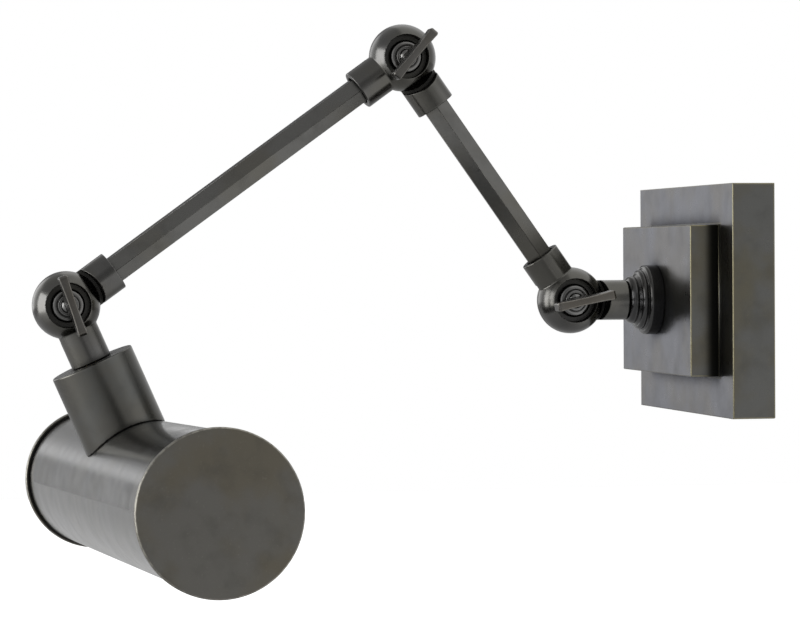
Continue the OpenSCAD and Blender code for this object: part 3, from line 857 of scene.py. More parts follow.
class Caster:
    """Shapes given by how far each point is from the surface, for castings with soft edges."""

    @staticmethod
    def meet(first: np.ndarray, second: np.ndarray, radius: float) -> np.ndarray:
        """What is inside both, with a rounded edge of the radius between them."""
        corner = np.hypot(np.maximum(first + radius, 0), np.maximum(second + radius, 0))
        return np.minimum(-radius, np.maximum(first, second)) + corner

    @staticmethod
    def cut(first: np.ndarray, second: np.ndarray, radius: float) -> np.ndarray:
        """The first without the second, with a rounded edge between them."""
        return Caster.meet(first, -second, radius)

    @staticmethod
    def join(first: np.ndarray, second: np.ndarray, radius: float) -> np.ndarray:
        """Both together, with a hollow fillet of the radius between them."""
        return -Caster.meet(-first, -second, radius)

    @staticmethod
    def cast(field: Field, low: Corner, high: Corner, cell: float) -> bpy.types.Mesh:
        """Meshes the surface where the field is zero.

        Args:
            field: The distance from the surface, negative inside.
            low: The lowest corner of the space that is searched.
            high: The highest corner.
            cell: The size of the grid's cells.

        Returns:
            The mesh, with its normals taken from the field.
        """
        axes = [np.arange(a - cell, b + 2 * cell, cell) for a, b in zip(low, high)]
        grid = np.stack(np.meshgrid(*axes, indexing="ij"), -1)
        distance = field(grid[..., 0], grid[..., 1], grid[..., 2])
        inside = distance < 0
        shape = tuple(n - 1 for n in inside.shape)
        total = np.zeros((*shape, 3))
        hits = np.zeros(shape)
        crossings = []
        for axis in range(3):
            head = [slice(None)] * 3
            tail = [slice(None)] * 3
            head[axis] = slice(None, -1)
            tail[axis] = slice(1, None)
            d0 = distance[tuple(head)]
            d1 = distance[tuple(tail)]
            cross = (d0 < 0) != (d1 < 0)
            share = np.where(cross, d0 / np.where(cross, d0 - d1, 1), 0)
            place = grid[tuple(head)].copy()
            place[..., axis] += share * cell
            place *= cross[..., None]
            others = [a for a in range(3) if a != axis]
            for shift_a in (0, 1):
                for shift_b in (0, 1):
                    part = [slice(None)] * 3
                    part[others[0]] = slice(shift_a, shift_a + shape[others[0]])
                    part[others[1]] = slice(shift_b, shift_b + shape[others[1]])
                    total += place[tuple(part)]
                    hits += cross[tuple(part)]
            crossings.append(cross)
        used = hits > 0
        numbers = np.full(shape, -1)
        numbers[used] = np.arange(used.sum())
        points = total[used] / hits[used][:, None]
        points, normals = Caster._settle(field, points, cell)
        quads = []
        for axis, cross in enumerate(crossings):
            others = [a for a in range(3) if a != axis]
            where = np.argwhere(cross)
            keep = (where[:, others[0]] > 0) & (where[:, others[1]] > 0)
            keep &= (where[:, others[0]] < shape[others[0]]) & (where[:, others[1]] < shape[others[1]])
            where = where[keep]
            ring = []
            for shift in ((1, 1), (0, 1), (0, 0), (1, 0)):
                cells = where.copy()
                cells[:, others[0]] -= shift[0]
                cells[:, others[1]] -= shift[1]
                ring.append(numbers[tuple(cells.T)])
            quad = np.stack(ring, 1)
            up = inside[tuple(where.T)]
            if axis == 1:
                up = ~up
            quad[~up] = quad[~up][:, ::-1]
            quads.append(quad)
        made = mesh_from(points, np.concatenate(quads))
        made.polygons.foreach_set("use_smooth", np.ones(len(made.polygons), bool))
        made.normals_split_custom_set_from_vertices(normals.tolist())
        return made

    @staticmethod
    def _settle(field: Field, points: np.ndarray, cell: float) -> tuple[np.ndarray, np.ndarray]:
        """Moves points onto the surface.

        Args:
            field: The distance from the surface.
            points: Points near it.
            cell: The size of the grid's cells, of which a point moves half at most in each round.

        Returns:
            The points on the surface, and its normals there.
        """
        step = cell * 0.05
        rounds = 4
        normals = np.zeros_like(points)
        for _ in range(rounds):
            for axis in range(3):
                offset = np.zeros(3)
                offset[axis] = step
                ahead = (points + offset).T
                behind = (points - offset).T
                normals[:, axis] = (field(*ahead) - field(*behind)) / (2 * step)
            length = np.maximum(np.linalg.norm(normals, axis=1, keepdims=True), 0.2)
            move = field(*points.T)[:, None] / length
            points = points - normals / length * np.clip(move, -0.5 * cell, 0.5 * cell)
        return points, normals / np.maximum(np.linalg.norm(normals, axis=1, keepdims=True), 1e-6)


LATHE = Lathe()
RING = Ring()


def block(low: Corner, high: Corner) -> bpy.types.Mesh:
    """A plain block between two corners, used to cut with."""
    points = [(x, y, z) for x in (low[0], high[0]) for y in (low[1], high[1]) for z in (low[2], high[2])]
    faces = [(0, 1, 3, 2), (4, 6, 7, 5), (0, 4, 5, 1), (2, 3, 7, 6), (0, 2, 6, 4), (1, 5, 7, 3)]
    return mesh_from(np.array(points), faces)


def slab_of(outline: list[Point2], low: float, high: float) -> bpy.types.Mesh:
    """A flat outline made thick.

    Args:
        outline: Its points in X and Y, anticlockwise.
        low: The slab's underside along Z.
        high: Its upper side.

    Returns:
        The mesh.
    """
    count = len(outline)
    points = [(x, y, low) for x, y in outline] + [(x, y, high) for x, y in outline]
    faces: list[Any] = [tuple(range(count, 2 * count)), tuple(reversed(range(count)))]
    faces += [(k, (k + 1) % count, count + (k + 1) % count, count + k) for k in range(count)]
    return mesh_from(np.array(points), faces)


def joined(meshes: list[bpy.types.Mesh]) -> bpy.types.Mesh:
    """Puts several meshes into one, as they stand.

    Args:
        meshes: The meshes.

    Returns:
        The one mesh.
    """
    work = bmesh.new()
    for mesh in meshes:
        work.from_mesh(mesh)
    made = bpy.data.meshes.new("joined")
    work.to_mesh(made)
    work.free()
    return made


def strip_faces(rings: int, sides: int) -> list[Any]:
    """The faces of a row of rings, with its two end faces.

    Args:
        rings: How many rings there are.
        sides: How many points each ring has.

    Returns:
        The vertex numbers of each face.
    """
    faces: list[Any] = [tuple(range(sides)), tuple(range((rings - 1) * sides, rings * sides))]
    for first in range(0, (rings - 1) * sides, sides):
        for k in range(sides):
            following = (k + 1) % sides
            faces.append((first + k, first + following, first + sides + following, first + sides + k))
    return faces


def turned_rod(points: list[Corner], radius: float, sides: int = 10) -> bpy.types.Mesh:
    """A round wire through points, with flat ends.

    Args:
        points: The wire's centre line.
        radius: The wire's radius.
        sides: Steps round the wire.

    Returns:
        The mesh.
    """
    line = [Vector(point) for point in points]
    rings = []
    side = Vector((0, 1, 0))
    for number, point in enumerate(line):
        before = line[max(number - 1, 0)]
        after = line[min(number + 1, len(line) - 1)]
        course = (after - before).normalized()
        across = (side - course * side.dot(course)).normalized()
        other = course.cross(across)
        turns = [FULL_TURN * k / sides for k in range(sides)]
        rings += [point + radius * (across * math.cos(a) + other * math.sin(a)) for a in turns]
    return evened(outwards(mesh_from(np.array([tuple(p) for p in rings]), strip_faces(len(line), sides))))


def softened_copy(node: str, width: float, segments: int = 2) -> bpy.types.Mesh:
    """A copy of a CAD node with its triangles merged into faces and its edges rounded.

    Args:
        node: The CAD node's name.
        width: The rounding's width.
        segments: The rounding's steps.

    Returns:
        The mesh, in millimetres in the world frame.
    """
    mesh = frame["nodes"][node].data.copy()
    mesh.transform(Matrix.Scale(1 / MM, 4))
    mesh.materials.clear()
    weld = ("WELD", {"merge_threshold": 0.002})
    flat = ("DECIMATE", {"decimate_type": "DISSOLVE", "angle_limit": math.radians(0.6)})
    return softened(evaluated(mesh, [weld, flat]), width, segments)


def place(
    name: str,
    mesh: bpy.types.Mesh,
    node: str,
    finish: Finish,
    at: Matrix | None = None,
    bare: bool = False,
) -> None:
    """Puts a finished mesh into the scene, where it rides on its CAD node's body.

    Args:
        name: The piece's name.
        mesh: The mesh, in millimetres in the piece's own frame.
        node: The CAD node that it stands for, or the node that it sits on.
        finish: Its finish.
        at: The piece's frame, in millimetres in the world frame.
        bare: Whether it replaces nothing and only rides along.
    """
    if "edge" not in mesh.attributes:
        mark_edges(mesh)
    mesh.transform(Matrix.Scale(MM, 4) @ (at or Matrix.Identity(4)))
    mesh.name = name
    mesh.materials.clear()
    mesh.materials.append(finish.material())
    made = bpy.data.objects.new(name, mesh)
    bpy.context.scene.collection.objects.link(made)
    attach(made, frame["nodes"][node]["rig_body"])
    if not bare:
        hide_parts(node)


def dress_copy(name: str, node: str, finish: Finish, width: float, segments: int = 2) -> None:
    """Places a copy of a CAD node with its edges rounded by a width, in as many steps."""
    place(name, softened_copy(node, width, segments), node, finish)


def dress(node: str, finish: Finish) -> None:
    """Gives a CAD node that stays its finish.

    Args:
        node: The CAD node's name.
        finish: The finish.
    """
    kept = frame["nodes"][node]
    kept.data.materials.clear()
    kept.data.materials.append(finish.material())
    log.info("%s: CAD node kept", node)


# Frames

def along(pivot: Vector, angle: float) -> Matrix:
    """A frame at a pivot with local Z along the heading and X kept as the pivot axis."""
    return Matrix.Translation(pivot) @ Matrix.Rotation(math.radians(angle - 90), 4, "X")


def heading(angle: float) -> Vector:
    """The direction of a heading, from +Y up towards +Z."""
    return Vector((0, math.cos(math.radians(angle)), math.sin(math.radians(angle))))


AXIS_X = Matrix.Rotation(math.radians(90), 4, "Y")
AXIS_OUT = Matrix.Rotation(math.radians(90), 4, "X")
TURNED_ABOUT = Matrix.Rotation(math.pi, 4, "X")


@dataclass(frozen=True)
class Layout:
    """Where the pivots are and which way everything points, as in the CAD source."""

    plate_front: float = 22.5
    box_front: float = 38.5
    rosette_l: float = 16.6
    stub_reach: float = 30.1
    face_gap: float = 0.3
    inner_angle: float = 125.2
    outer_angle: float = 215.9
    neck_angle: float = 293.75
    inner_l: float = 156
    outer_l: float = 218
    head_turn: float = 2.85
    head_drop: float = 106.5

    @property
    def wall_pivot(self) -> Vector:
        """The wall knuckle's pivot."""
        return Vector((0, -(self.box_front + self.rosette_l + self.face_gap + self.stub_reach), 0))

    @property
    def elbow_pivot(self) -> Vector:
        """The elbow's pivot."""
        return self.wall_pivot + self.inner_l * heading(self.inner_angle)

    @property
    def head_pivot(self) -> Vector:
        """The head knuckle's pivot."""
        return self.elbow_pivot + self.outer_l * heading(self.outer_angle)

    @property
    def neck_frame(self) -> Matrix:
        """The frame of what turns about the neck's axis."""
        turn = Matrix.Rotation(math.radians(-self.head_turn), 4, "Z")
        return along(self.head_pivot, self.neck_angle) @ turn

    @property
    def tube_frame(self) -> Matrix:
        """The shade's axis as local Z, from the middle towards the near cap."""
        return self.neck_frame @ Matrix.Translation((0, 0, self.head_drop)) @ AXIS_X


LAYOUT = Layout()

# What pieces of more than one sub-assembly share
NIPPLE_BORE = 5.05
SCREW_CLEARANCE = 0.05
SOCKET_FLOOR = 20.8
ROD_FLATS = 13.2
ROD_BORE = ROD_FLATS / math.sqrt(3) + 0.3


# Sub-assemblies

def hexagon(flats: float, roll: float = 0, corner_round: float = 0) -> list[Corner]:
    """The corners of a hexagon.

    Args:
        flats: Its width across the flats.
        roll: The first corner's angle in degrees.
        corner_round: Each corner's radius.

    Returns:
        The six corners, anticlockwise.
    """
    radius = flats / math.sqrt(3)
    angles = [math.radians(roll + 60 * k) for k in range(6)]
    return [(radius * math.cos(a), radius * math.sin(a), corner_round) for a in angles]


@dataclass(frozen=True)
class Fastener:
    """Threaded tubes, nuts, washers and slotted screws along local Z, with what they share."""

    thread_depth: float = 0.5
    thread_pitch: float = 1.0
    run_out: float = 0.8
    edge_round: float = 0.3
    end_round: float = 0.5
    chamfer: float = 0.12
    nut_edge: float = 0.12
    slot_w: float = 0.8
    slot_depth: float = 0.7
    slot_edge: float = 0.08

    def tube(self, low: float, high: float, radius: float, bore: float) -> bpy.types.Mesh:
        """A hollow nipple threaded from end to end.

        Args:
            low: Its lower end.
            high: Its upper end.
            radius: Its outer radius.
            bore: Its inner radius.

        Returns:
            The mesh.
        """
        inner, outer = self.edge_round, self.end_round
        corners: list[Corner] = [(bore, low, inner), (radius, low, outer)]
        corners += [(radius, high, outer), (bore, high, inner)]
        thread = (low + self.run_out, high - self.run_out, self.thread_depth, self.thread_pitch)
        return evened(LATHE.turn(rounded(corners, 30), True, 48, thread))

    def nut(self, flats: float, thick: float, bore: float) -> bpy.types.Mesh:
        """A hexagonal nut whose corners are chamfered at both ends.

        Args:
            flats: Its width across the flats.
            thick: Its thickness.
            bore: The radius of its hole.

        Returns:
            The mesh.
        """
        outline = [(x, y) for x, y, _ in hexagon(flats)]
        half = flats / 2
        reach = flats / math.sqrt(3) + 0.02
        drop = self.chamfer * flats / 2
        profile = [(0, 0), (half, 0), (reach, drop), (reach, thick - drop), (half, thick), (0, thick)]
        mesh = combined(slab_of(outline, 0, thick), LATHE.turn(profile, False, 72), "INTERSECT")
        hole = LATHE.turn([(0, -1), (bore, -1), (bore, thick + 1), (0, thick + 1)], False, 48)
        return softened(combined(mesh, hole, "DIFFERENCE"), self.nut_edge, 2, 25)

    def washer(self, outer: float, bore: float, thick: float) -> bpy.types.Mesh:
        """A flat washer with rounded edges."""
        soft = self.edge_round
        corners: list[Corner] = [(bore, 0, 0.1), (outer, 0, soft), (outer, thick, soft), (bore, thick, 0.1)]
        return evened(LATHE.turn(rounded(corners, 30), True, 72))

    def screw(self, shank: float, radius: float, head_r: float, head_h: float) -> bpy.types.Mesh:
        """A short slotted screw, whose head starts at local zero and whose shank goes down.

        Args:
            shank: The shank's length.
            radius: The shank's radius.
            head_r: The head's radius.
            head_h: The head's height.

        Returns:
            The mesh.
        """
        corners: list[Corner] = [(0, -shank, 0), (radius, -shank, self.edge_round), (radius, 0, 0)]
        corners += [(head_r, 0, 0.15), (head_r, head_h, self.end_round), (0, head_h, 0)]
        mesh = evened(LATHE.turn(rounded(corners, 22), False, 36))
        half = self.slot_w / 2
        slot = block((-head_r - 1, -half, head_h - self.slot_depth), (head_r + 1, half, head_h + 1))
        return softened(combined(mesh, slot, "DIFFERENCE"), self.slot_edge, 2, 40)


FASTENER = Fastener()


@dataclass
class WallMount:
    """The stepped wall plate with its rosette, and what holds it on the wall."""

    edge_round: float = 0.7
    foot_fillet: float = 1.1
    fillet_sink: float = 0.4
    box_w: float = 128
    box_h: float = 78
    rosette_radii: tuple[float, float, float] = (18.4, 15.824, 12.512)
    rosette_fronts: tuple[float, float, float] = (7.636, 10.956, 16.434)
    rosette_rolls: tuple[float, float, float] = (1.7, 2, 3.2)
    rosette_neck: float = 8.8
    roll_sink: float = 0.36
    wire_bore: float = 3.5
    nipple_tail: float = 3
    washer_r: float = 10
    washer_t: float = 1.2
    nut_flats: float = 14
    nut_t: float = 4
    plate_wall: float = 1.6
    strap_t: float = 2
    earth_z: float = 46.0
    earth_shank_r: float = 2
    earth_head_r: float = 3.5
    earth_head_h: float = 1.6

    def build(self) -> None:
        """Makes and places every piece of the mount."""
        dress_copy("wall_plate_shell", "wall_plate", PLATE, self.edge_round, 3)
        dress_copy("front_box_shell", "front_box", BOX, self.edge_round, 3)
        place("front_box_foot_fillet", self._foot_fillet(), "front_box", PLATE, bare=True)
        out = Matrix.Translation((0, -LAYOUT.box_front, 0)) @ AXIS_OUT
        place("rosette_turned", LATHE.turn(self._rosette_profile(), True, 128), "rosette", ROSETTE, out)
        dress_copy("strap_pressed", "mounting_strap", ZINC, 0.25)
        dress_copy("terminal_block_moulded", "terminal_block", PLASTIC, 0.4)
        dress_copy("strap_screws_turned", "strap_screws", CAST, 0.12)
        strap = Matrix.Translation((0, -self.strap_t, self.earth_z)) @ AXIS_OUT
        screw = FASTENER.screw(self.strap_t, self.earth_shank_r, self.earth_head_r, self.earth_head_h)
        place("earth_screw_turned", screw, "earth_screw", BRASS, strap)
        self._nipple()

    def _nipple(self) -> None:
        """The threaded tube through plate, box and rosette, with its washer and nut."""
        back = LAYOUT.plate_front - self.plate_wall - self.washer_t
        front = LAYOUT.wall_pivot.length - SOCKET_FLOOR
        low = back - self.nut_t - self.nipple_tail
        tube = FASTENER.tube(low, front, NIPPLE_BORE - SCREW_CLEARANCE, self.wire_bore)
        place("wall_nipple_threaded", tube, "wall_nipple", BRASS, AXIS_OUT)
        washer = FASTENER.washer(self.washer_r, NIPPLE_BORE, self.washer_t)
        at_washer = AXIS_OUT @ Matrix.Translation((0, 0, back))
        place("nipple_washer_pressed", washer, "nipple_washer", ZINC, at_washer)
        nut = FASTENER.nut(self.nut_flats, self.nut_t, NIPPLE_BORE)
        at_nut = AXIS_OUT @ Matrix.Translation((0, 0, back - self.nut_t))
        place("nipple_nut_milled", nut, "nipple_nut", BRASS, at_nut)

    def _foot_fillet(self) -> bpy.types.Mesh:
        """The hollow fillet where the raised box meets the plate."""
        r = self.foot_fillet
        sink = -self.fillet_sink
        steps = 6
        angles = [math.radians(90 * k / steps) for k in range(steps + 1)]
        profile = [(sink, sink), (r, sink)]
        profile += [(r - r * math.sin(a), r - r * math.cos(a)) for a in angles]
        profile.append((sink, r))
        points = [
            (sx * (self.box_w / 2 + out), -(LAYOUT.plate_front + up), sz * (self.box_h / 2 + out))
            for out, up in profile
            for sx, sz in ((1, 1), (-1, 1), (-1, -1), (1, -1))
        ]
        count = len(profile)
        faces = [
            (4 * i + k, 4 * ((i + 1) % count) + k, 4 * ((i + 1) % count) + (k + 1) % 4, 4 * i + (k + 1) % 4)
            for i in range(count)
            for k in range(4)
        ]
        return evened(outwards(mesh_from(np.array(points), faces)))

    def _rosette_profile(self) -> list[Point2]:
        """Three rolled steps that narrow towards the front, round a bore."""
        corners: list[Corner] = [(NIPPLE_BORE, 0, 0), (self.rosette_radii[0], 0, 0.3)]
        floor = 0.0
        for radius, front, roll in zip(self.rosette_radii, self.rosette_fronts, self.rosette_rolls):
            sink = min(self.roll_sink, (front - roll - floor) / roll) if floor else 0
            start = -math.degrees(math.asin(sink))
            corners += arc((radius - roll, front - roll), roll, start, 90, 12)
            floor = front
        corners.append((self.rosette_neck, self.rosette_fronts[2], 0))
        corners.append((self.rosette_neck, LAYOUT.rosette_l, 0))
        corners.append((NIPPLE_BORE, LAYOUT.rosette_l, 0))
        return rounded(corners)


@dataclass
class Knuckle:
    """A ball knuckle: two half balls with round shanks, and the clamp screw with its lever."""

    name: str
    pivot: Vector
    rear_node: str
    rear_angle: float
    rear_reach: float
    rear_bore: float
    front_node: str
    front_angle: float
    front_reach: float
    front_bore: float
    lever_angle: float
    ball_r: float = 17.5
    shank_r: float = 10.55
    pocket_r: float = 19.5
    shank_start: float = 10
    half_gap: float = 0.25
    recess_r: float = 11.5
    recess_floor: float = 7.5
    nut_recess_r: float = 6.02
    nut_recess_floor: float = 8.5
    nut_flats: float = 10
    nut_t: float = 5
    race_in: float = 8.2
    race_out: float = 13.2
    race_floor: float = 4.75
    wire_hole_r: float = 2.6
    wire_start: float = 11.2
    wire_floor: float = 0.65
    edge_round: float = 0.38
    socket_round: float = 0.304
    crease_round: float = 0.35
    cell: float = 0.45
    head_bottom: float = 7.8
    head_r: float = 8.8
    bead_r: float = 2.4
    base_top: float = 10.2
    step_r: float = 5.4
    step_top: float = 12.6
    button_r: float = 4.4
    button_drop: float = 1.4
    shank_end: float = -13.5
    screw_r: float = 3
    screw_edge: float = 0.15
    lever_l: float = 31.7
    lever_t: float = 4.9
    lever_waist: float = 3.8
    lever_top: float = 36
    lever_bar_h: float = 9
    lever_foot: float = 10
    lever_cove: float = 8
    lever_tip: float = 1.4
    lever_under_tip: float = 0.6
    lever_end_share: float = 0.55
    lever_edge: float = 0.6

    def build(self) -> None:
        """Makes and places every piece of the knuckle."""
        rear = self._member(-1, self.rear_reach, self.rear_bore)
        place(self.rear_node + "_cast", rear, self.rear_node, CAST, along(self.pivot, self.rear_angle))
        front = self._member(1, self.front_reach, self.front_bore)
        place(self.front_node + "_cast", front, self.front_node, CAST, along(self.pivot, self.front_angle))
        at = along(self.pivot, self.lever_angle)
        screw, lever, nut = (self.name + "_clamp_" + part for part in ("screw", "lever", "nut"))
        place(screw + "_turned", self._screw(), screw, TURNED, at)
        place(lever + "_cast", self._lever(), lever, LEVERS, at)
        dress(self.name + "_friction_disc", FIBRE)
        back = Matrix.Translation(self.pivot + Vector((-self.nut_recess_floor, 0, 0)))
        back = back @ Matrix.Rotation(math.radians(-90), 4, "Y")
        milled = FASTENER.nut(self.nut_flats, self.nut_t, self.screw_r + SCREW_CLEARANCE)
        place(nut + "_milled", milled, nut, ZINC, back)

    def _member(self, side: int, reach: float, bore: float) -> bpy.types.Mesh:
        """One half ball with its shank.

        Args:
            side: 1 for the front half, -1 for the rear.
            reach: The shank's end along local Z.
            bore: The radius of the shank's bore.

        Returns:
            The mesh.
        """
        soft = self.edge_round

        def field(x: np.ndarray, y: np.ndarray, z: np.ndarray) -> np.ndarray:
            """Distance from the member's surface.

            Args:
                x: Places along the pivot's axis.
                y: Places across the shank.
                z: Places along the shank.

            Returns:
                The distance at each place, negative inside.
            """
            depth = side * x
            off_axis = np.hypot(y, z)
            half = Caster.meet(np.sqrt(x * x + y * y + z * z) - self.ball_r, self.half_gap - depth, soft)
            shank = Caster.meet(np.hypot(x, y) - self.shank_r, z - reach, soft)
            shank = np.maximum(shank, self.shank_start - z)
            pocket = np.maximum(off_axis - self.pocket_r, depth - self.half_gap)
            shank = Caster.cut(shank, pocket, soft)
            body = Caster.join(half, shank, self.crease_round)
            if side > 0:
                seat = np.maximum(off_axis - self.recess_r, self.recess_floor - depth)
            else:
                seat = np.maximum(off_axis - self.nut_recess_r, self.nut_recess_floor - depth)
            body = Caster.cut(body, seat, soft)
            middle = (self.race_in + self.race_out) / 2
            race = np.abs(off_axis - middle) - (self.race_out - self.race_in) / 2
            body = np.maximum(body, -np.maximum(race, depth - self.race_floor))
            body = np.maximum(body, self.screw_r + SCREW_CLEARANCE - off_axis)
            socket = np.maximum(np.hypot(x, y) - bore, SOCKET_FLOOR - z)
            body = Caster.cut(body, socket, self.socket_round)
            wires = np.maximum(np.hypot(x, y) - self.wire_hole_r, self.wire_start - z)
            wires = np.maximum(wires, self.wire_floor - depth)
            return np.maximum(body, -wires)

        r = self.ball_r
        x_low = self.half_gap if side > 0 else -r
        x_high = r if side > 0 else -self.half_gap
        low = (min(x_low, -self.shank_r), -r, -r)
        high = (max(x_high, self.shank_r), r, max(reach, r))
        return Caster.cast(field, low, high, self.cell)

    def _screw(self) -> bpy.types.Mesh:
        """The clamp screw's turned head with its shank, slit for the lever."""
        inner = self.head_r - self.bead_r
        bead_x = self.base_top - self.bead_r / 2
        dip = math.degrees(math.asin((bead_x - self.head_bottom) / self.bead_r))
        button_x = self.step_top - self.button_drop
        rise = math.degrees(math.asin(self.button_drop / self.button_r))
        corners: list[Corner] = [(0, self.shank_end, 0), (self.screw_r, self.shank_end, 0.4)]
        corners.append((self.screw_r, self.head_bottom, 0))
        meeting = math.degrees(math.acos((self.step_r - inner) / self.bead_r))
        corners += arc((inner, bead_x), self.bead_r, -dip, meeting, 14)
        corners.append((self.step_r, self.step_top, 0.45))
        corners += arc((0, button_x), self.button_r, rise, 90, 10)
        mesh = evened(LATHE.turn(rounded(corners), False, 72))
        half = self.lever_waist / 2 + SCREW_CLEARANCE
        foot = self.lever_foot / 2 + SCREW_CLEARANCE
        slit = block((-foot, -half, self.step_top), (foot, half, self.lever_top))
        mesh.transform(AXIS_X)
        slit.transform(AXIS_X)
        return softened(combined(mesh, slit, "DIFFERENCE"), self.screw_edge)

    def _lever(self) -> bpy.types.Mesh:
        """The blade, a foot that spreads into a bar, thinner in the middle than at its tips."""
        foot = self.lever_foot / 2
        end = self.lever_l / 2
        tip, cove = self.lever_tip, self.lever_cove
        stations = [0, foot / 2, foot - 0.01, foot]
        stations += [foot + cove * (1 - math.cos(math.radians(a))) for a in range(8, 91, 8)]
        stations += [end - tip - 0.8, end - tip]
        stations += [end - tip * (1 - math.sin(math.radians(a))) for a in range(15, 91, 15)]
        points = []
        for z in [-z for z in reversed(stations[1:])] + stations:
            low, high, half = self._lever_section(abs(z))
            points += [(low, -half, z), (high, -half, z), (high, half, z), (low, half, z)]
        rings = len(points) // 4
        return softened(outwards(mesh_from(np.array(points), strip_faces(rings, 4))), self.lever_edge, 3, 40)

    def _lever_section(self, z: float) -> tuple[float, float, float]:
        """The blade's section.

        Args:
            z: How far it is from the blade's middle.

        Returns:
            Its lower and upper side and half its thickness.
        """
        foot = self.lever_foot / 2
        end = self.lever_l / 2
        bar = self.lever_top - self.lever_bar_h
        tip, cove, under = self.lever_tip, self.lever_cove, self.lever_under_tip
        low = self.step_top if z < foot else bar
        if foot <= z < foot + cove:
            low = bar - cove + math.sqrt(cove ** 2 - (foot + cove - z) ** 2)
        if z > end - under:
            low = bar + under - math.sqrt(max(0, under ** 2 - (z - end + under) ** 2))
        high = self.lever_top
        half = (self.lever_waist + (self.lever_t - self.lever_waist) * (z / end) ** 2) / 2
        if z > end - tip:
            high -= tip - math.sqrt(max(0, tip ** 2 - (z - end + tip) ** 2))
            thinned = math.sqrt(max(0, 1 - ((z - end) / tip + 1) ** 2))
            half *= self.lever_end_share + (1 - self.lever_end_share) * thinned
        return low, high, half


@dataclass
class Arm:
    """A hexagonal rod between two sockets."""

    node: str
    pivot: Vector
    angle: float
    length: float
    bore_r: float = 3
    roll: float = 0
    corner_round: float = 0.25

    def build(self) -> None:
        """Makes and places the rod."""
        outline = rounded(hexagon(ROD_FLATS, self.roll, self.corner_round), 20)
        bar = slab_of(outline, SOCKET_FLOOR, self.length - SOCKET_FLOOR)
        bore = LATHE.turn([(0, 0), (self.bore_r, 0), (self.bore_r, self.length), (0, self.length)], False, 32)
        mesh = evened(combined(bar, bore, "DIFFERENCE"))
        place(self.node + "_drawn", mesh, self.node, RODS, along(self.pivot, self.angle))


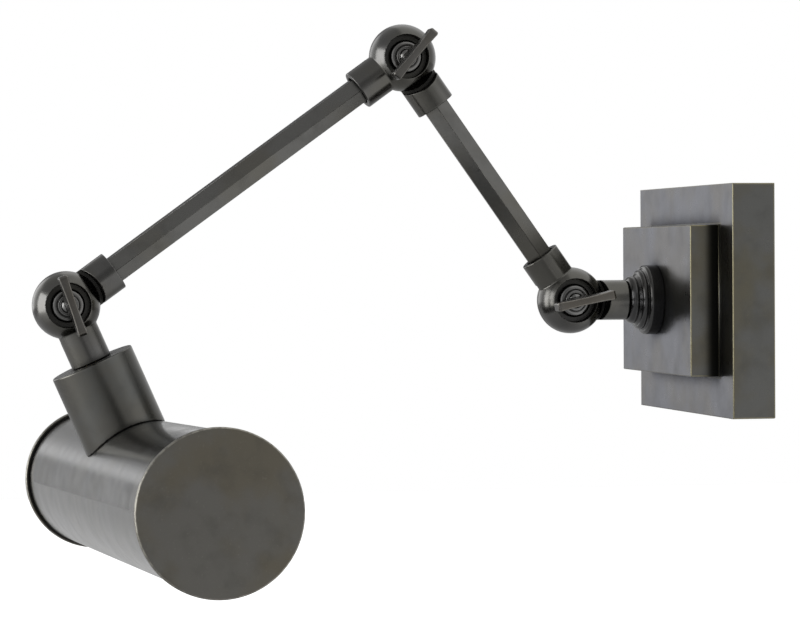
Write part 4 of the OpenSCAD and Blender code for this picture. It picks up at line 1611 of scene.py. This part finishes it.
@dataclass
class Head:
    """The neck, the shade with its two caps, and what holds the bulbs in it."""

    length: float = 375
    tube_r: float = 37.9
    tube_wall: float = 1.2
    cap_proud: float = 1.9
    cap_rim: float = 3.8
    cap_disc: float = 1.5
    bead_groove: float = 0.6
    fit_gap: float = 0.05
    neck_r: float = 21.95
    neck_wall: float = 1.5
    neck_top: float = 3
    neck_reach: float = 32
    neck_shoulder: float = 0.8
    saddle_drop: float = 28
    saddle_round: float = 0.3
    slot_w: float = 30
    slot_end: float = 27.5
    nipple_hole_r: float = 7
    screw_hole_r: float = 2.25
    screw_hole_x: float = 12
    tube_edge: float = 0.2
    lamp_x: float = 20
    holder_l: float = 27
    holder_r: float = 12
    holder_floor: float = 3
    holder_collar: float = 5
    rib_count: int = 26
    rib_w: float = 0.9
    rib_h: float = 0.5
    rib_round: float = 0.25
    base_r: float = 6.8
    base_l: float = 24
    bulb_r: float = 13
    bulb_l: float = 108
    bulb_neck_share: float = 0.45
    bulb_shoulder: float = 4
    glass_t: float = 0.8
    filament_x: float = 4.5
    filament_end: float = 18
    coil_r: float = 0.8
    coil_turns: int = 26
    coil_wire_r: float = 0.16
    support_wire_r: float = 0.35
    bridge_wire_r: float = 0.3
    cell: float = 0.6

    def build(self) -> None:
        """Makes and places every piece of the head."""
        place("neck_spun", self._neck(), "neck", NECK, LAYOUT.neck_frame)
        place("shade_tube_rolled", self._tube(), "shade_tube", SHADE, LAYOUT.tube_frame)
        for name, turn in (("near_cap", Matrix.Identity(4)), ("far_cap", TURNED_ABOUT)):
            cap = evened(LATHE.turn(self._cap_profile(), False, 160))
            place(name + "_spun", cap, name, CAPS, LAYOUT.tube_frame @ turn)
        for node, finish in (
            ("head_nipple", BRASS), ("swivel_washer", ZINC), ("swivel_nut", BRASS), ("reflector", ALUMINIUM),
            ("bracket_nuts", ZINC), ("bulb_bases", BRASS),
        ):
            dress(node, finish)
        dress_copy("holder_bracket_folded", "holder_bracket", ZINC, 0.2)
        dress_copy("bracket_screws_turned", "bracket_screws", ZINC, 0.12)
        self._both_ends("lamp_holders_moulded", self._holder(), "lamp_holders", PLASTIC)
        self._both_ends("bulb_glass_blown", self._glass(), "bulb_glass", GLASS)
        self._both_ends("bulb_filaments", self._filament(), "bulb_bases", FILAMENT, bare=True)

    @property
    def _bulb_start(self) -> float:
        """Where the bulbs' glass starts, from the shade's middle."""
        return self.lamp_x + self.holder_floor + self.base_l

    @staticmethod
    def _both_ends(name: str, mesh: bpy.types.Mesh, node: str, finish: Finish, bare: bool = False) -> None:
        """Places a piece on the shade's axis at both ends of the holder bracket.

        Args:
            name: The piece's name.
            mesh: The piece at the near end, along local Z.
            node: The CAD node that it stands for.
            finish: Its finish.
            bare: Whether it replaces nothing.
        """
        other = mesh.copy()
        other.transform(TURNED_ABOUT)
        place(name, joined([mesh, other]), node, finish, LAYOUT.tube_frame, bare)

    def _holder(self) -> bpy.types.Mesh:
        """A moulded lamp holder with grip ribs round its body."""
        low, high = self.lamp_x, self.lamp_x + self.holder_l
        body_r = self.holder_r - self.rib_h
        mouth = self.base_r + 0.25
        collar = high - self.holder_collar
        floor = low + self.holder_floor
        corners: list[Corner] = [(0, low, 0), (body_r, low, 0.8), (body_r, collar, 0.2)]
        corners += [(self.holder_r, collar + 0.6, 0.3), (self.holder_r, high, 0.8), (mouth, high, 0.5)]
        corners += [(mouth, floor, 0), (0, floor, 0)]
        body = evened(LATHE.turn(rounded(corners, 22), False, 72))
        half = self.rib_w / 2
        rib = block((body_r - 0.3, -half, low + 2), (self.holder_r, half, collar + 0.4))
        return joined([body, RING.repeat(softened(rib, self.rib_round), self.rib_count)])

    def _glass(self) -> bpy.types.Mesh:
        """A tubular bulb blown from a thin wall, drawn in where it enters its base."""
        start = self._bulb_start
        tip = start + self.bulb_l
        r, wall, neck = self.bulb_r, self.glass_t, self.bulb_r * self.bulb_neck_share
        outer: list[Corner] = [(neck, start, 0), (r, start, self.bulb_shoulder)]
        outer += arc((0, tip - r), r, 0, 90, 16)
        inner = arc((0, tip - r), r - wall, 90, 0, 16)
        inner += [(r - wall, start + wall, self.bulb_shoulder - 0.6), (neck, start + wall, 0)]
        outline = rounded(outer + inner, 14)
        mesh = LATHE.turn([(max(x, 0), z) for x, z in outline], True, 72)
        return evened(outwards(mesh))

    def _filament(self) -> bpy.types.Mesh:
        """Two coiled wires along the bulb, on two supports and joined by a bridge at the far end."""
        start = self._bulb_start
        end = start + self.bulb_l - self.filament_end
        foot, bend, fork, top = start - 2, start + 8, start + 14, start + 16
        supports = [
            turned_rod([(x, 0, foot), (x, 0, bend), (3 * x, 0, fork), (3 * x, 0, top)], self.support_wire_r)
            for x in (-self.filament_x / 3, self.filament_x / 3)
        ]
        coil_low, coil_high = start + 15, end - 2
        steps = 10
        legs = []
        for x in (-self.filament_x, self.filament_x):
            course = []
            for k in range(self.coil_turns * steps + 1):
                angle = FULL_TURN * k / steps
                height = coil_low + (coil_high - coil_low) * k / (self.coil_turns * steps)
                course.append((x + self.coil_r * math.cos(angle), self.coil_r * math.sin(angle), height))
            legs.append(turned_rod(course, self.coil_wire_r, 5))
        out = self.filament_x + self.coil_r
        near = self.filament_x - 0.5
        drop = coil_high - 0.2
        line = [(-out, 0, drop), (-near, 0, end), (near, 0, end), (out, 0, drop)]
        return joined([*supports, *legs, turned_rod(line, self.bridge_wire_r)])

    def _neck(self) -> bpy.types.Mesh:
        """A cup that ends in a saddle on the tube."""
        def field(x: np.ndarray, y: np.ndarray, z: np.ndarray) -> np.ndarray:
            """Distance from the neck's surface."""
            radius = np.hypot(x, y)
            outer = Caster.meet(radius - self.neck_r, self.neck_reach - z, self.neck_shoulder)
            hollow = np.maximum(radius - (self.neck_r - self.neck_wall), self.neck_reach + self.neck_top - z)
            body = np.maximum(outer, -hollow)
            tube = np.hypot(y, z - LAYOUT.head_drop) - self.tube_r - self.fit_gap
            body = Caster.cut(body, tube, self.saddle_round)
            return np.maximum(body, NIPPLE_BORE - radius)

        r = self.neck_r
        top = LAYOUT.head_drop - self.saddle_drop
        return Caster.cast(field, (-r, -r, self.neck_reach), (r, r, top), self.cell)

    def _tube(self) -> bpy.types.Mesh:
        """The rolled tube with the light opening and the holes under the neck."""
        half = self.length / 2 - self.cap_disc
        inner = self.tube_r - self.tube_wall
        corners: list[Corner] = [(inner, -half, 0.3), (self.tube_r, -half, 0.3)]
        corners += [(self.tube_r, half, 0.3), (inner, half, 0.3)]
        mesh = evened(LATHE.turn(rounded(corners), True, 192))
        reach = self.length / 2 - self.slot_end
        wide = self.slot_w / 2
        slot = block((-2 * self.tube_r, -wide, -reach), (0, wide, reach))
        mesh = combined(mesh, slot, "DIFFERENCE")
        near, far = 20, 45
        side, small = self.screw_hole_x, self.screw_hole_r
        for x, radius in ((0, self.nipple_hole_r), (-side, small), (side, small)):
            drill = LATHE.turn([(0, near), (radius, near), (radius, far), (0, far)], False, 32)
            drill.transform(Matrix.Translation((0, 0, x)) @ AXIS_X)
            mesh = combined(mesh, drill, "DIFFERENCE")
        return softened(mesh, self.tube_edge)

    def _cap_profile(self) -> list[Point2]:
        """A cup with two fine beads round its rim."""
        outer = self.length / 2
        inside = self.tube_r + self.fit_gap
        rim = self.tube_r + self.cap_proud
        back = outer - self.cap_rim
        floor = rim - 0.5
        low, high = (outer - self.cap_rim / 2 + side * self.bead_groove / 2 for side in (-1, 1))
        corners: list[Corner] = [(0, outer - self.cap_disc, 0), (inside, outer - self.cap_disc, 0.2)]
        corners += [(inside, back, 0.2), (rim, back, 0.7), (rim, low, 0.5), (floor, low, 0.1)]
        corners += [(floor, high, 0.1), (rim, high, 0.5), (rim, outer, 0.7), (0, outer, 0)]
        return rounded(corners)


# Studio

@dataclass(frozen=True)
class Softbox:
    """An area light."""

    name: str
    place: Corner
    target: Corner
    size: Point2
    power: float

    def build(self) -> None:
        """Hangs the light."""
        data = bpy.data.lights.new(self.name, "AREA")
        data.shape = "RECTANGLE"
        data.size = self.size[0]
        data.size_y = self.size[1]
        data.energy = self.power
        made = bpy.data.objects.new(self.name, data)
        made.location = self.place
        direction = Vector(self.target) - Vector(self.place)
        made.rotation_euler = direction.to_track_quat("-Z", "Y").to_euler()
        made.visible_camera = False
        bpy.context.scene.collection.objects.link(made)


@dataclass(frozen=True)
class Studio:
    """The camera, the pale floor and the light."""

    camera_place: Corner = (1.64447, -0.51733, 0.02230)
    yaw: float = 11.68
    pitch: float = -0.90
    roll: float = -0.33
    focal_px: float = 3208.9
    image_w: float = 800
    floor_z: float = -0.62
    floor_size: float = 14
    room_light: float = 0.55
    walls: tuple[Point2, ...] = (
        (-180, 0.38), (-168, 0.4), (-160, 2.4), (-140, 1.8), (-120, 0.75), (-92, 0.9), (-71, 1.45),
        (-52, 1.5), (-36, 1.1), (-22, 0.6), (-8, 0.42), (4, 0.45), (11, 0.82), (17, 0.98), (30, 1.0),
        (45, 1.4), (67, 1.6), (85, 1.0), (110, 0.8), (126, 1.0), (170, 0.9), (180, 0.38),
    )
    brightest: float = 4
    ceiling: Point2 = (0.72, 1.5)
    ceiling_fade: Point2 = (-0.06, 0.02)
    ceiling_rise: Point2 = (0.45, 0.6)
    behind: tuple[float, float, float] = (0.36, 0.5, 0.24)
    behind_edge: Point2 = (0.96, 0.967)
    behind_top: Point2 = (0.12, 0.2)
    strip_foot: Point2 = (0.045, 0.07)
    strip_head: Point2 = (0.09, 0.115)
    deep_top: Point2 = (-0.24, -0.05)
    floor_gloss: tuple[float, float, float] = (0.02, 0.5, 0.9)
    near_side: Point2 = (-0.5, 0.3)
    wall_side: Point2 = (-0.2, 0.4)
    far_side: Point2 = (0.9, 1.25)
    floor_glow: float = 0.8
    softbox: Softbox = Softbox("left_softbox", (-0.24, -2.6, 0.05), (0, -0.2, 0.02), (1.76, 2.2), 64)

    def build(self) -> None:
        """Makes the camera, the world, the floor and the light."""
        self._camera()
        self._world()
        self._floor()
        self.softbox.build()
        bpy.context.scene.view_settings.view_transform = "Standard"

    def _camera(self) -> None:
        """The camera at the photograph's place."""
        yaw, pitch, roll = (math.radians(a) for a in (self.yaw, self.pitch, self.roll))
        forward = Vector((-math.cos(yaw) * math.cos(pitch), math.sin(yaw) * math.cos(pitch), math.sin(pitch)))
        right = forward.cross(Vector((0, 0, 1))).normalized()
        up = right.cross(forward)
        turned_right = math.cos(roll) * right + math.sin(roll) * up
        turned_up = -math.sin(roll) * right + math.cos(roll) * up
        data = bpy.data.cameras.new("photo_camera")
        data.sensor_fit = "HORIZONTAL"
        data.sensor_width = 36
        data.lens = self.focal_px * data.sensor_width / self.image_w
        made = bpy.data.objects.new("photo_camera", data)
        turn = Matrix((turned_right, turned_up, -forward)).transposed().to_4x4()
        made.matrix_world = Matrix.Translation(self.camera_place) @ turn
        bpy.context.scene.collection.objects.link(made)
        bpy.context.scene.camera = made

    @staticmethod
    def _rays(graph: Graph) -> tuple[Value, Value]:
        """Whether the camera sees a point, directly or through glass, and whether gloss shows it."""
        ray = graph.node("ShaderNodeLightPath").outputs
        seen = Value(graph, ray["Is Camera Ray"]).highest(Value(graph, ray["Is Transmission Ray"]))
        return seen, Value(graph, ray["Is Glossy Ray"])

    def _world(self) -> None:
        """White behind the lamp, an even room that lights it, and walls that its gloss shows."""
        world = bpy.data.worlds.new("studio")
        bpy.context.scene.world = world
        world.use_nodes = True
        graph = Graph(world.node_tree)
        seen, glossy = self._rays(graph)
        level = seen + (1 - seen) * (glossy * self._walls(graph) + (1 - glossy) * self.room_light)
        shade = graph.node("ShaderNodeBackground", None, {"Color": (1, 1, 1, 1), "Strength": level})
        graph.node("ShaderNodeOutputWorld", None, {"Surface": shade.outputs[0]})

    def _walls(self, graph: Graph) -> Value:
        """How bright the room is in each direction, as the lamp's gloss shows it.

        Args:
            graph: The world's tree.

        Returns:
            The level.
        """
        x, y, z = graph.axes("Generated")
        round_share = y.math("ARCTAN2", y, x) / FULL_TURN + 0.5
        stops = [((angle + 180) / 360, level / self.brightest) for angle, level in self.walls]
        around = graph.value("ShaderNodeValToRGB", 0, {"stops": stops}, {0: round_share}) * self.brightest
        overhead = y.band(*self.ceiling_fade) * (self.ceiling[1] - self.ceiling[0]) + self.ceiling[0]
        level = around + (overhead - around) * z.band(*self.ceiling_rise)
        strip = z.band(*self.strip_foot) * (1 - z.band(*self.strip_head))
        low = 1 - z.band(*self.deep_top)
        middle, bright, deep = self.behind
        behind = (1 - z.band(*self.behind_top)) * middle + strip * bright + low * deep
        return level + (behind - level) * (-1 * x).band(*self.behind_edge)

    def _floor(self) -> None:
        """A pale floor that renders white and keeps the lamp's shadow."""
        h = self.floor_size / 2
        corners = [(x, y, self.floor_z) for x, y in ((-h, -h), (h, -h), (h, h), (-h, h))]
        mesh = mesh_from(np.array(corners), [(0, 1, 2, 3)], "floor")
        made = bpy.data.materials.new("floor_paint")
        made.use_nodes = True
        graph = Graph(made.node_tree)
        seen, glossy = self._rays(graph)
        x, y, _ = graph.axes()
        base, front, side = self.floor_gloss
        sides = y.band(*self.wall_side) * side + (-1 * y).band(*self.far_side) * front
        gloss = x.band(*self.near_side) * sides + base
        glow = seen * self.floor_glow + glossy * gloss
        shader = graph.node("ShaderNodeBsdfPrincipled", None, {
            "Base Color": (0.85, 0.85, 0.85, 1),
            "Roughness": 0.9,
            "Emission Color": graph.blend(glow, (0.0, 0.0, 0.0), (1.0, 1.0, 1.0)),
            "Emission Strength": 1.0,
        })
        graph.node("ShaderNodeOutputMaterial", None, {"Surface": shader.outputs[0]})
        mesh.materials.append(made)
        floor = bpy.data.objects.new("floor", mesh)
        bpy.context.scene.collection.objects.link(floor)


def main() -> None:
    """Builds the studio and every sub-assembly."""
    logging.basicConfig(level=logging.INFO, format="%(message)s")
    Studio().build()
    WallMount().build()
    inner, outer, neck = LAYOUT.inner_angle, LAYOUT.outer_angle, LAYOUT.neck_angle
    Knuckle(
        "wall", LAYOUT.wall_pivot, lever_angle=12,
        rear_node="wall_stub", rear_angle=0, rear_reach=LAYOUT.stub_reach, rear_bore=NIPPLE_BORE,
        front_node="inner_arm_wall_socket", front_angle=inner, front_reach=28.8, front_bore=ROD_BORE,
    ).build()
    Knuckle(
        "elbow", LAYOUT.elbow_pivot, lever_angle=50,
        rear_node="inner_arm_elbow_socket", rear_angle=inner + 180, rear_reach=30.8, rear_bore=ROD_BORE,
        front_node="outer_arm_elbow_socket", front_angle=outer, front_reach=29.4, front_bore=ROD_BORE,
    ).build()
    Knuckle(
        "head", LAYOUT.head_pivot, lever_angle=109,
        rear_node="outer_arm_head_socket", rear_angle=outer + 180, rear_reach=30.3, rear_bore=ROD_BORE,
        front_node="head_stub", front_angle=neck, front_reach=31.7, front_bore=NIPPLE_BORE,
    ).build()
    Arm("inner_arm_rod", LAYOUT.wall_pivot, inner, LAYOUT.inner_l, roll=-9).build()
    Arm("outer_arm_rod", LAYOUT.elbow_pivot, outer, LAYOUT.outer_l, roll=-3.5).build()
    Head().build()


if __name__ == "__main__":
    main()
